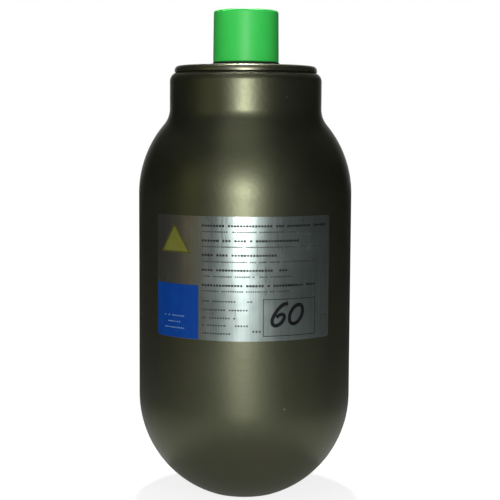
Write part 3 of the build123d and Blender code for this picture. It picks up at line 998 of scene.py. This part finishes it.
@dataclass
class Shell:
    """The forged shell: two domes, a straight wall, the collar and the base with its port hole."""

    radius: float = 57.0
    wall: float = 8.0
    base_flat: float = 21.0
    base_edge: float = 0.15
    straight: float = 108.5
    floor: float = 16.0
    knuckle: float = 11.0
    collar: float = 40.5
    collar_edge: float = 5.0
    collar_root: float = 13.0
    thread_hole: float = 30.0
    thread_depth: float = 14.0
    seal_hole: float = 28.5
    port_hole: float = 16.5
    port_chamfer: float = 0.8
    groove: float = 19.5
    groove_depth: float = 4.65

    def centres(self) -> tuple[float, float]:
        """Heights of the lower and the upper dome's centre."""
        lower = math.sqrt(self.radius**2 - self.base_flat**2)
        return lower, lower + self.straight

    def outer(self, top: float) -> list[Point]:
        """Outline of the outside, from the port hole up to the collar's face.

        Args:
            top: height of the collar's face.

        Returns:
            The points.
        """
        lower, upper = self.centres()
        base = math.degrees(math.acos(self.base_flat / self.radius))
        root_r = self.collar + self.collar_root
        reach = self.radius + self.collar_root
        root_z = upper + math.sqrt(reach**2 - root_r**2)
        lean = math.degrees(math.acos(root_r / reach))
        edge = self.collar_edge
        points = [(self.port_hole + self.port_chamfer, 0.0), (self.base_flat - self.base_edge, 0.0)]
        points += arc((0.0, lower), self.radius, -base, 0.0)
        points += [(self.radius, z) for z in spaced(lower, upper, 12.0)[1:-1]]
        points += arc((0.0, upper), self.radius, 0.0, lean)
        points += arc((root_r, root_z), self.collar_root, 180.0 + lean, 180.0, 4.0)[1:]
        points += arc((self.collar - edge, top - edge), edge, 0.0, 90.0, 7.5)
        return points

    def inner(self, top: float) -> list[Point]:
        """Outline of the inside, from the collar's bore down to the port hole.

        Args:
            top: height of the collar's face.

        Returns:
            The points.
        """
        lower, upper = self.centres()
        inside = self.radius - self.wall
        mouth = math.degrees(math.acos(self.seal_hole / inside))
        knuckle_z = self.floor + self.knuckle
        reach = inside - self.knuckle
        tilt = math.degrees(math.asin((lower - knuckle_z) / reach))
        knuckle_r = reach * math.cos(math.radians(tilt))
        step, ledge = top - self.thread_depth, self.floor - self.groove_depth
        points = [(self.thread_hole, top), (self.thread_hole, step), (self.seal_hole, step)]
        points += arc((0.0, upper), inside, mouth, 0.0, 9.0)
        points += arc((0.0, lower), inside, 0.0, -tilt, 9.0)
        points += arc((knuckle_r, knuckle_z), self.knuckle, -tilt, -90.0, 12.0)[1:]
        points += [(self.groove, self.floor), (self.groove, ledge)]
        points += [(self.port_hole, ledge), (self.port_hole, self.port_chamfer)]
        return points

    def build(self, shop: Workshop) -> None:
        """Turn the shell.

        Args:
            shop: shared trees and materials.
        """
        top = levels("shell")[1]
        piece = shop.turn("painted_shell", self.outer(top) + self.inner(top), Slot.SHELL, 256)
        shop.fit(piece, Body.MAIN, Slot.SHELL, "shell")


@dataclass
class Closure:
    """The closing plug with the stem, its nut and the gas valve that the cap hides."""

    boss_radius: float = 15.0
    boss_height: float = 5.0
    pitch: float = 1.5
    run_out: float = 1.0
    ridge: float = 0.42
    proud: float = 0.07

    def build(self, shop: Workshop) -> None:
        """Smooth the turned pieces and wind the boss's thread, whose crests stand just proud.

        Args:
            shop: shared trees and materials.
        """
        pieces = (
            ("closing_plug", "painted_plug", Slot.PLUG),
            ("bladder_stem", "threaded_stem", Slot.ZINC),
            ("stem_washer", "plated_washer", Slot.ZINC),
            ("stem_lock_nut", "plated_lock_nut", Slot.ZINC),
            ("gas_valve_body", "brass_valve_body", Slot.BRASS),
            ("valve_sealing_cap", "brass_sealing_cap", Slot.BRASS),
        )
        for node, name, slot in pieces:
            shop.smooth_copy(node, name, Body.MAIN, slot)
        foot = levels("closing_plug")[1] - self.boss_height + self.ridge
        turns = (self.boss_height - 2 * self.ridge - self.run_out) / self.pitch
        radius = self.boss_radius + self.proud - self.ridge
        coil = Coil(turns, radius, turns * self.pitch, foot, self.ridge, steps=64)
        piece = shop.wind("boss_thread", coil, Slot.PLUG)
        shop.fit(piece, Body.MAIN, Slot.PLUG)


@dataclass
class Cap:
    """The green protective cap and the dark gasket at its foot."""

    foot_radius: float = 17.5
    crown_radius: float = 17.2
    crown_rings: tuple[float, ...] = (0.0, 6.0, 12.0)
    wall_rings: tuple[float, ...] = (9.0, 18.0)
    ceiling_ring: float = 7.0
    bore: float = 15.1
    lead: float = 0.7
    edge: float = 1.4
    inner_edge: float = 1.0
    foot_chamfer: float = 0.4
    top_thickness: float = 2.8
    gasket_bore: float = 15.05
    gasket_radius: float = 17.8
    gasket_bulge: float = 0.55

    def cap_outline(self) -> list[Point]:
        """Outline of the cap, from the axis on top to the axis inside.

        Returns:
            The points.
        """
        foot, top = levels("protective_cap")
        ceiling = top - self.top_thickness
        slope = (self.foot_radius - self.crown_radius) / (top - foot)
        rim = self.crown_radius + slope * self.edge
        corner = (self.bore - self.inner_edge, ceiling - self.inner_edge)
        points = [(radius, top) for radius in self.crown_rings]
        points += arc((rim - self.edge, top - self.edge), self.edge, 90.0, 0.0, 9.0)
        points += [(self.foot_radius - slope * (top - down - foot), top - down) for down in self.wall_rings]
        points += [(self.foot_radius, foot + self.foot_chamfer), (self.foot_radius - self.foot_chamfer, foot)]
        points += [(self.bore + self.lead, foot), (self.bore, foot + self.lead), (self.bore, corner[1])]
        points += arc(corner, self.inner_edge, 0.0, 90.0, 15.0)[1:]
        points += [(self.ceiling_ring, ceiling), (0.0, ceiling)]
        return points

    def gasket_outline(self) -> list[Point]:
        """Outline of the gasket, rounded where it bulges under the cap.

        Returns:
            The points.
        """
        foot, top = levels("cap_gasket")
        bulge, middle = self.gasket_bulge, self.gasket_radius - self.gasket_bulge
        points = [(self.gasket_bore, foot)]
        points += arc((middle, foot + bulge), bulge, -90.0, 0.0, 15.0)
        points += arc((middle, top - bulge), bulge, 0.0, 90.0, 15.0)
        points += [(self.gasket_bore, top), (self.gasket_bore, foot + (top - foot) / 2)]
        return points

    def build(self, shop: Workshop) -> None:
        """Turn the cap and the gasket.

        Args:
            shop: shared trees and materials.
        """
        cap = shop.turn("green_cap", self.cap_outline(), Slot.CAP, 160, closed=False)
        shop.fit(cap, Body.CAP, Slot.CAP, "protective_cap")
        gasket = shop.turn("rubber_gasket", self.gasket_outline(), Slot.SEAL, 128)
        shop.fit(gasket, Body.MAIN, Slot.SEAL, "cap_gasket")


@dataclass
class FluidPort:
    """The port cartridge, its female thread and the poppet valve behind it."""

    female_radius: float = 9.3
    female_depth: float = 14.0
    recess: float = 0.5
    chamfer: float = 1.2
    pitch: float = 1.814
    ridge: float = 0.62
    proud: float = 0.32

    def build(self, shop: Workshop) -> None:
        """Smooth the pieces that show from below and wind the port's thread.

        Args:
            shop: shared trees and materials.
        """
        shop.smooth_copy("port_body", "turned_port", Body.MAIN, Slot.PORT)
        shop.smooth_copy("poppet_guide", "four_arm_guide", Body.MAIN, Slot.PORT)
        shop.smooth_copy("poppet", "turned_poppet", Body.POPPET, Slot.PORT)
        shop.smooth_copy("poppet_stop_nut", "plated_stop_nut", Body.POPPET, Slot.ZINC)
        foot = self.recess + self.chamfer + self.ridge
        turns = (self.female_depth - self.chamfer - 2 * self.ridge) / self.pitch
        radius = self.female_radius - self.proud + self.ridge
        coil = Coil(turns, radius, turns * self.pitch, foot, self.ridge, steps=72)
        piece = shop.wind("port_thread", coil, Slot.PORT)
        shop.fit(piece, Body.MAIN, Slot.PORT)


@dataclass(frozen=True)
class Spring:
    """A coil spring between a fixed seat and a moving piece.

    Attributes:
        node: the CAD node that it stands for.
        name: the piece's name.
        joint: the joint that presses it; not used.
        radius: middle of the wire from the axis.
        wire: the wire's thickness.
        turns: number of turns.
        seat: height of its fixed end; not used.
        travel: how far the joint presses it; not used.
    """

    node: str
    name: str
    joint: str
    radius: float
    wire: float
    turns: float
    seat: float
    travel: float

    def build(self, shop: Workshop) -> None:
        """Wind the spring and give it its own mesh.

        Args:
            shop: shared trees and materials.
        """
        low, high = levels(self.node)
        rise, foot = high - low - self.wire, low + self.wire / 2
        coil = Coil(self.turns, self.radius, rise, foot, self.wire / 2, steps=40, sides=12)
        piece = shop.wind(self.name, coil, Slot.SPRING)
        shop.fit(piece, Body.MAIN, Slot.SPRING, self.node)
        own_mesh(piece)


@dataclass
class Springs:
    """The two springs that the moving pieces press."""

    springs: tuple[Spring, ...] = (
        Spring("poppet_spring", "wound_poppet_spring", "poppet_slide", 5.4, 1.4, 4.0, 29.4, 6.0),
        Spring("valve_core_spring", "wound_core_spring", "valve_pin_press", 1.6, 0.4, 5.0, 235.19, 1.2),
    )

    def build(self, shop: Workshop) -> None:
        """Wind both springs."""
        for spring in self.springs:
            spring.build(shop)


@dataclass(frozen=True)
class LineSet:
    """Lines of dashes that share an ink and a spacing, each dash within a block of room.

    Attributes:
        name: the piece's name.
        ink: which ink.
        lines: (start, height, end) of each, height above the label's lower edge.
        pitch: from block to block.
        width: a block's width.
        height: a block's height.
        filled: share of blocks that hold a dash.
        seed: of the random choices.
        level: height in print thicknesses, 0.5 on the foil and 1.5 on another print.
    """

    name: str
    ink: Ink
    lines: tuple[tuple[float, float, float], ...]
    pitch: float
    width: float
    height: float
    filled: float
    seed: int
    level: float = 0.5


def from_left(*lines: Point, start: float = -21.3) -> tuple[tuple[float, float, float], ...]:
    """Lines of (height, end) that all start at the same place, as (start, height, end)."""
    return tuple((start, height, end) for height, end in lines)


BOLD = from_left((57.9, 45.0), (50.45, 27.8), (43.2, 15.7), (35.7, 21.3), (28.0, 38.1))
THIN = from_left((54.9, 42.4), (47.4, 41.8), (39.9, 38.7), (32.5, 24.8), (25.1, 22.6))
LOWER = from_left((20.0, 3.4), (15.7, 2.6), (11.6, -4.9), (7.8, 1.5), (3.7, -7.4))
PALE = ((-44.5, 11.4, -32.5), (-42.0, 8.3, -35.0), (-44.5, 5.2, -32.5))
SIDE = ((41.2, 11.7, 45.8), (4.6, 5.0, 7.9))
LINE_SETS = (
    LineSet("bold_lines", BLACK_INK, BOLD, 1.5, 1.26, 2.3, 0.9, 5),
    LineSet("thin_lines", GREY_INK, THIN, 1.1, 0.85, 1.5, 0.88, 11),
    LineSet("lower_lines", GREY_INK, LOWER, 1.35, 1.05, 1.7, 0.88, 23),
    LineSet("pale_lines", PALE_INK, PALE, 1.3, 1.0, 1.3, 0.92, 7, level=1.5),
    LineSet("side_marks", GREY_INK, SIDE, 1.5, 1.1, 2.2, 1.0, 3),
)


@dataclass
class Label:
    """The foil label: creased foil, fields of colour, lines of dashes, and a frame round a drawn number.

    Places are (along, height): along the wall from the front, to the right, and above the label's lower edge.
    """

    wall_radius: float = 57.1
    left: float = -51.1
    right: float = 48.9
    corner: float = 1.4
    corner_step: float = 0.2
    foil: float = 0.03
    ripple: float = 0.026
    ridge_at: float = -25.3
    ridge_width: float = 0.45
    ridge_foot: float = 0.52
    bubble_at: float = -38.0
    bubble_width: float = 2.2
    print_lift: float = 0.045
    print_thickness: float = 0.03
    field_inset: float = 0.25
    field_right: float = -23.76
    field_height: float = 27.7
    triangle: tuple[Point, Point, Point] = ((-38.1, 58.5), (-47.6, 43.66), (-27.9, 43.5))
    triangle_fill: float = 0.83
    frame_box: tuple[float, float, float, float] = (9.45, 2.4, 38.7, 21.3)
    frame_line: float = 0.38
    stroke: float = 1.9
    bottom: float = field(init=False)
    top: float = field(init=False)

    def __post_init__(self) -> None:
        """Take the label's height from its CAD node."""
        self.bottom, self.top = levels("label_foil")

    def bend(self, along: float, lift: float, height: float) -> Vector:
        """The point on the wall, in metres, at a place, a lift above the glue and a height."""
        turn, reach = along / self.wall_radius, self.wall_radius + lift
        return Vector((reach * math.sin(turn), -reach * math.cos(turn), height)) * MM

    def crease(self, along: float, height: float) -> float:
        """How far the foil stands off at a point, from long waves, one upright ridge and one bubble.

        Args:
            along: distance round the wall.
            height: height above the base.

        Returns:
            The lift, from 0 to the ripple's height.
        """
        up = (height - self.bottom) / (self.top - self.bottom)
        waves = math.sin(along * 0.55 + 1.3 * math.sin(up * 4.0)) + 0.6 * math.sin(along * 1.27 + up * 2.1)
        ridge = math.exp(-(((along - self.ridge_at + 0.5 * up) / self.ridge_width) ** 2))
        ridge *= min(1.0, max(0.0, (up - self.ridge_foot) * 6.0))
        bubble = math.exp(-(((along - self.bubble_at) / self.bubble_width) ** 2) - (((up - 0.5) * 9.0) ** 2))
        level = 0.5 + 0.14 * waves + 0.5 * ridge + 0.35 * bubble
        return self.ripple * min(1.0, max(0.0, level))

    def corner_inset(self, room: float) -> float:
        """How far a rounded corner cuts in, this far from the plate's end."""
        short = self.corner - min(max(room, 0.0), self.corner)
        return self.corner - math.sqrt(max(self.corner**2 - short**2, 0.0))

    def plate(self, name: str, columns: Sequence[float], edges: tuple[Edge, Edge], lifts: tuple[Lift, Lift],
              material: Material, rows: int = 2) -> Piece:
        """Make a thin closed plate on the wall.

        Args:
            name: the piece's name.
            columns: places round the wall.
            edges: the lower and the upper edge.
            lifts: the lift of the under side and of the outer side.
            material: its material.
            rows: spaces between the lower and the upper edge.

        Returns:
            The piece.
        """
        work = bmesh.new()
        sides = []
        for lift in lifts:
            side = []
            for along in columns:
                foot, head = edges[0](along), edges[1](along)
                heights = [foot + (head - foot) * row / rows for row in range(rows + 1)]
                side.append([work.verts.new(self.bend(along, lift(along, z), z)) for z in heights])
            sides.append(side)
        inner, outer = sides
        last = len(columns) - 1
        for side in sides:
            for first, second in zip(side, side[1:]):
                for row in range(rows):
                    work.faces.new((first[row], second[row], second[row + 1], first[row + 1]))
        rims = [((c, row), (c + 1, row)) for c in range(last) for row in (0, rows)]
        rims += [((c, row), (c, row + 1)) for c in (0, last) for row in range(rows)]
        for (c, row), (next_c, next_row) in rims:
            work.faces.new((inner[c][row], inner[next_c][next_row], outer[next_c][next_row], outer[c][row]))
        mesh = bpy.data.meshes.new(name)
        work.to_mesh(mesh)
        work.free()
        mesh.materials.append(material)
        tidy_mesh(mesh, PLATE_WELD)
        return new_object(name, mesh)

    def ink_plate(self, shop: Workshop, name: str, ink: Ink, columns: Sequence[float],
                  edges: tuple[Edge, Edge], level: int = 0) -> None:
        """Print one field of colour.

        Args:
            shop: shared trees and materials.
            name: the piece's name.
            ink: which ink.
            columns: places round the wall.
            edges: the lower and the upper edge.
            level: 0 on the foil, 1 on another print.
        """
        base = self.print_lift + level * self.print_thickness
        top = base + self.print_thickness
        piece = self.plate(name, columns, edges, (lambda a, z: base, lambda a, z: top), shop.material(ink))
        shop.fit(piece, Body.MAIN, Slot.LABEL)

    def build(self, shop: Workshop) -> None:
        """Make the foil and everything printed on it.

        Args:
            shop: shared trees and materials.
        """
        self._foil(shop)
        self._field(shop)
        self._triangles(shop)
        self._lines(shop)
        self._frame(shop)
        self._number(shop)

    def _foil(self, shop: Workshop) -> None:
        """Make the creased foil.

        Args:
            shop: shared trees and materials.
        """
        fine = spaced(0.0, self.corner, self.corner_step)[:-1]
        columns = [self.left + step for step in fine]
        columns += spaced(self.left + self.corner, self.right - self.corner, 0.5)
        columns += [self.right - step for step in reversed(fine)]

        def inset(along: float) -> float:
            """The inset of the nearer corner."""
            return self.corner_inset(min(along - self.left, self.right - along))

        edges = (lambda a: self.bottom + inset(a), lambda a: self.top - inset(a))
        lifts = (lambda a, z: 0.0, lambda a, z: self.foil * 0.5 + self.crease(a, z))
        piece = self.plate("creased_foil", columns, edges, lifts, shop.material(Slot.LABEL), rows=48)
        shop.fit(piece, Body.MAIN, Slot.LABEL, "label_foil")

    def _field(self, shop: Workshop) -> None:
        """Print the plain blue field, whose lower left corner is rounded.

        Args:
            shop: shared trees and materials.
        """
        left, low = self.left + self.field_inset, self.bottom + self.field_inset
        columns = [left + step for step in spaced(0.0, self.corner, self.corner_step)[:-1]]
        columns += spaced(left + self.corner, self.field_right, 1.0)
        edges = (
            lambda a: low + self.corner_inset(min(a - left, self.corner)),
            lambda a: self.bottom + self.field_height,
        )
        self.ink_plate(shop, "blue_field", BLUE_INK, columns, edges)

    def _triangles(self, shop: Workshop) -> None:
        """Print the triangle's rim and its smaller fill.

        Args:
            shop: shared trees and materials.
        """
        self._triangle(shop, "triangle_rim", RIM_INK, self.triangle, 0)
        middle = [sum(corner[k] for corner in self.triangle) / 3 for k in (0, 1)]
        inside = tuple(
            tuple(middle[k] + (corner[k] - middle[k]) * self.triangle_fill for k in (0, 1))
            for corner in self.triangle
        )
        self._triangle(shop, "triangle_fill", YELLOW_INK, inside, 1)

    def _triangle(self, shop: Workshop, name: str, ink: Ink, corners: Sequence[Point], level: int) -> None:
        """Print one triangle.

        Args:
            shop: shared trees and materials.
            name: the piece's name.
            ink: which ink.
            corners: its top, its left and its right corner.
            level: 0 on the foil, 1 on another print.
        """
        apex, left, right = corners
        columns = spaced(left[0], apex[0], 0.7) + spaced(apex[0], right[0], 0.7)[1:]

        def line(first: Point, second: Point, along: float) -> float:
            """Height of the line through two points at a place along it."""
            share = (along - first[0]) / (second[0] - first[0])
            return self.bottom + first[1] + (second[1] - first[1]) * share

        edges = (lambda a: line(left, right, a), lambda a: line(left if a <= apex[0] else right, apex, a))
        self.ink_plate(shop, name, ink, columns, edges, level)

    def _lines(self, shop: Workshop) -> None:
        """Print the lines of dashes.

        Args:
            shop: shared trees and materials.
        """
        for group in LINE_SETS:
            chains = [[(first, self.bottom + z), (last, self.bottom + z)] for first, z, last in group.lines]
            mesh = polyline_mesh(group.name, chains)
            for vertex in mesh.vertices:
                vertex.co.y = -(self.print_lift + self.print_thickness * group.level) * MM
            inputs = {
                "Pitch": group.pitch * MM,
                "Block Width": group.width * MM,
                "Block Height": group.height * MM,
                "Thickness": self.print_thickness * MM,
                "Filled Share": group.filled,
                "Radius": self.wall_radius * MM,
                "Seed": group.seed,
                "Material": shop.material(group.ink),
            }
            piece = grow(group.name, mesh, shop.trees.dashes, inputs)
            tidy_mesh(piece.data, smooth=False)
            shop.fit(piece, Body.MAIN, Slot.LABEL)

    def _frame(self, shop: Workshop) -> None:
        """Print the thin frame round the number.

        Args:
            shop: shared trees and materials.
        """
        left, low, right, high = self.frame_box
        line = self.frame_line
        bars = ((left, low, right, low + line), (left, high - line, right, high))
        bars += ((left, low + line, left + line, high - line), (right - line, low + line, right, high - line))
        for number, (first, foot, last, head) in enumerate(bars):
            edges = (lambda a, foot=foot: self.bottom + foot, lambda a, head=head: self.bottom + head)
            self.ink_plate(shop, f"frame_line_{number}", OLIVE_INK, spaced(first, last, 1.0), edges)

    def _number(self, shop: Workshop) -> None:
        """Draw the number with a marker.

        Args:
            shop: shared trees and materials.
        """
        chains = [[(x, self.bottom + y) for x, y in smooth_through(stroke)] for stroke in (SIX, zero())]
        inputs = {
            "Width": self.stroke * MM,
            "Thickness": self.print_thickness * MM,
            "Lift": (self.print_lift + self.print_thickness / 2) * MM,
            "Radius": self.wall_radius * MM,
            "Material": shop.material(MARKER_INK),
        }
        name = "hand_drawn_number"
        piece = grow(name, polyline_mesh(name, chains), shop.trees.strokes, inputs)
        tidy_mesh(piece.data)
        shop.fit(piece, Body.MAIN, Slot.LABEL)


SIX = (
    (22.6, 18.9), (20.0, 18.3), (17.6, 16.4), (15.5, 13.6), (14.2, 10.6), (14.6, 8.4), (16.4, 7.8),
    (18.8, 9.0), (20.5, 11.3), (20.2, 13.2), (18.3, 13.3), (16.3, 12.0),
)


def zero(centre: Point = (27.2, 13.2), wide: float = 3.2, tall: float = 5.2,
         slant: float = 30.0) -> list[Point]:
    """Points of a slanted ring whose ends overlap, as a hand draws it.

    Args:
        centre: its middle.
        wide: half its width.
        tall: half its height.
        slant: its slant in degrees.

    Returns:
        The points.
    """
    lean = math.radians(slant)
    start, sweep, step = 100, 390, 15
    ring = []
    for turn in range(start, start + sweep + 1, step):
        side, rise = wide * math.cos(math.radians(turn)), tall * math.sin(math.radians(turn))
        across = side * math.cos(lean) + rise * math.sin(lean)
        ring.append((centre[0] + across, centre[1] + (rise * math.cos(lean) - side * math.sin(lean))))
    return ring


def smooth_through(points: Sequence[Point], steps: int = 6) -> list[Point]:
    """Run a smooth line through given points.

    Args:
        points: the points.
        steps: parts between two points.

    Returns:
        Points on the smooth line.
    """
    padded = [points[0], *points, points[-1]]
    result: list[Point] = []
    for spots in zip(padded, padded[1:], padded[2:], padded[3:]):
        for step in range(steps):
            t = step / steps
            weights = (
                -0.5 * t + t * t - 0.5 * t**3,
                1.0 - 2.5 * t * t + 1.5 * t**3,
                0.5 * t + 2.0 * t * t - 1.5 * t**3,
                -0.5 * t * t + 0.5 * t**3,
            )
            result.append(tuple(sum(w * spot[k] for w, spot in zip(weights, spots)) for k in (0, 1)))
    return [*result, points[-1]]


@dataclass
class Inside:
    """The pieces that the shell hides, which keep their CAD meshes."""

    slots: tuple[tuple[str, Slot], ...] = (
        ("plug_o_ring", Slot.SEAL),
        ("plug_backup_ring", Slot.BACKUP),
        ("bladder", Slot.BLADDER),
        ("stem_o_ring", Slot.SEAL),
        ("gas_valve_o_ring", Slot.SEAL),
        ("valve_core_body", Slot.BRASS),
        ("valve_core_pin", Slot.BRASS),
        ("valve_core_seal", Slot.SEAL),
        ("port_o_ring", Slot.SEAL),
        ("port_backup_ring", Slot.BACKUP),
    )

    def build(self, shop: Workshop) -> None:
        """Give each hidden node its finish.

        Args:
            shop: shared trees and materials.
        """
        for node, slot in self.slots:
            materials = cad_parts[node].data.materials
            materials.clear()
            materials.append(shop.material(slot))
            log.info("%s: %s", node, slot.value)


# ---------------------------------------------------------------- studio


@dataclass(frozen=True)
class Lamp:
    """A rectangular softbox.

    Attributes:
        name: the lamp's name.
        spot: where it hangs.
        aim: how high on the axis it points.
        size: its width and height.
        power: its power in watts.
        spread: how widely it fans out, in degrees.
        colour: its light's colour.
    """

    name: str
    spot: tuple[float, float, float]
    aim: float
    size: Point
    power: float
    spread: float = 180.0
    colour: Colour = (1.0, 1.0, 1.0)

    def hang(self) -> None:
        """Put the lamp in the scene."""
        data = bpy.data.lights.new(self.name, "AREA")
        data.shape = "RECTANGLE"
        data.size, data.size_y = self.size
        data.energy = self.power
        data.spread = math.radians(self.spread)
        data.color = self.colour
        lamp = bpy.data.objects.new(self.name, data)
        lamp.location = self.spot
        aim = Vector((0.0, 0.0, self.aim)) - Vector(self.spot)
        lamp.rotation_euler = aim.to_track_quat("-Z", "Y").to_euler()
        bpy.context.scene.collection.objects.link(lamp)


LAMPS = (
    Lamp("key_softbox", (-0.03, -1.25, 0.25), 0.17, (0.27, 0.31), 7.4),
    Lamp("fill_softbox", (-0.1, -1.35, 0.75), 0.14, (1.3, 1.3), 2.6),
    Lamp("left_softbox", (-1.1, -0.7, 0.35), 0.14, (0.5, 0.8), 0.45, colour=(1.0, 0.93, 0.45)),
    Lamp("top_softbox", (-0.1, -0.5, 1.5), 0.12, (0.9, 0.9), 1.8),
    Lamp("edge_softbox", (-0.02, 0.35, 1.1), 0.2, (0.09, 0.3), 0.32, spread=30.0),
)


@dataclass
class Studio:
    """Floor, sky, soft lamps and the camera."""

    floor_size: float = 8.0
    distance: float = 0.70
    camera_height: float = 0.2006
    camera_side: float = 0.00275
    tilt: float = 5.7
    roll: float = 0.33
    lens: float = 93.6
    sky_light: float = 0.02

    def build(self) -> None:
        """Build the whole studio."""
        self._floor()
        self._world()
        for lamp in LAMPS:
            lamp.hang()
        self._camera()

    @staticmethod
    def _seen(bench: Bench) -> tuple[Socket, Socket]:
        """The share of rays that see the surface straight or through glass, and of glossy rays."""
        ray = bench.add("ShaderNodeLightPath").outputs
        return bench.maths("MAXIMUM", ray["Is Camera Ray"], ray["Is Transmission Ray"]), ray["Is Glossy Ray"]

    def _floor(self) -> None:
        """Lay the pale floor, which looks white to the camera except in the object's shadow, and glows near
        the object for glossy rays only, a painted reflection.
        """
        half = self.floor_size / 2
        mesh = bpy.data.meshes.new("floor")
        corners = [(-half, -half, 0), (half, -half, 0), (half, half, 0), (-half, half, 0)]
        mesh.from_pydata(corners, [], [(0, 1, 2, 3)])
        floor = new_object("floor", mesh)
        material = bpy.data.materials.new("pale_floor")
        bench = cleared(material)
        seen, glossy = self._seen(bench)
        length = bench.add("ShaderNodeVectorMath", {0: bench.object_place()}, operation="LENGTH")
        away = length.outputs["Value"]
        white = bench.times(seen, bench.span(away, 0.1, 0.4, 0.8, 1.0))
        # painted reflection: within about 0.3 m of the object the floor glows for glossy rays only, a pool of
        # light for the lower dome to mirror
        near = bench.times(glossy, bench.span(away, 0.08, 0.3, 0.19, 0.0))
        glow = bench.add("ShaderNodeEmission", {"Color": (1, 1, 1, 1), "Strength": bench.plus(white, near)})
        plain = bench.add("ShaderNodeBsdfDiffuse", {"Color": (0.5, 0.51, 0.52, 1.0)})
        both = bench.add("ShaderNodeAddShader", {0: glow.outputs[0], 1: plain.outputs[0]})
        bench.add("ShaderNodeOutputMaterial", {0: both.outputs[0]})
        mesh.materials.append(material)

    def _world(self) -> None:
        """Make the sky white where it is seen or mirrored from behind, and nearly dark as light."""
        world = bpy.data.worlds.new("studio_sky")
        bpy.context.scene.world = world
        bench = cleared(world)
        seen, glossy = self._seen(bench)
        depth = bench.parts(bench.add("ShaderNodeTexCoord").outputs["Generated"])[1]
        white = bench.maths("MAXIMUM", seen, bench.times(glossy, bench.span(depth, 0.86, 0.98)))
        strength = bench.plus(bench.times(white, 1.0 - self.sky_light), self.sky_light)
        sky = bench.add("ShaderNodeBackground", {"Color": (1, 1, 1, 1), "Strength": strength})
        bench.add("ShaderNodeOutputWorld", {0: sky.outputs[0]})

    def _camera(self) -> None:
        """Set the camera in front of the label, a little above the middle and tilted down."""
        data = bpy.data.cameras.new("camera")
        data.lens = self.lens
        data.sensor_width = 36.0
        camera = bpy.data.objects.new("camera", data)
        camera.location = (self.camera_side, -self.distance, self.camera_height)
        tilt = math.radians(self.tilt)
        aim = Vector((0.0, math.cos(tilt), -math.sin(tilt)))
        camera.rotation_euler = aim.to_track_quat("-Z", "Y").to_euler()
        camera.rotation_euler.rotate_axis("Z", math.radians(self.roll))
        bpy.context.scene.collection.objects.link(camera)
        bpy.context.scene.camera = camera


def main() -> None:
    """Build every sub-assembly, then the studio."""
    logging.basicConfig(level=logging.INFO, format="%(name)s: %(message)s")
    bpy.context.scene.view_settings.view_transform = "Standard"
    shop = Workshop()
    for assembly in (Shell(), Closure(), Cap(), FluidPort(), Springs(), Label(), Inside()):
        log.info("building %s", type(assembly).__name__)
        assembly.build(shop)
    Studio().build()


if __name__ == "__main__":
    main()
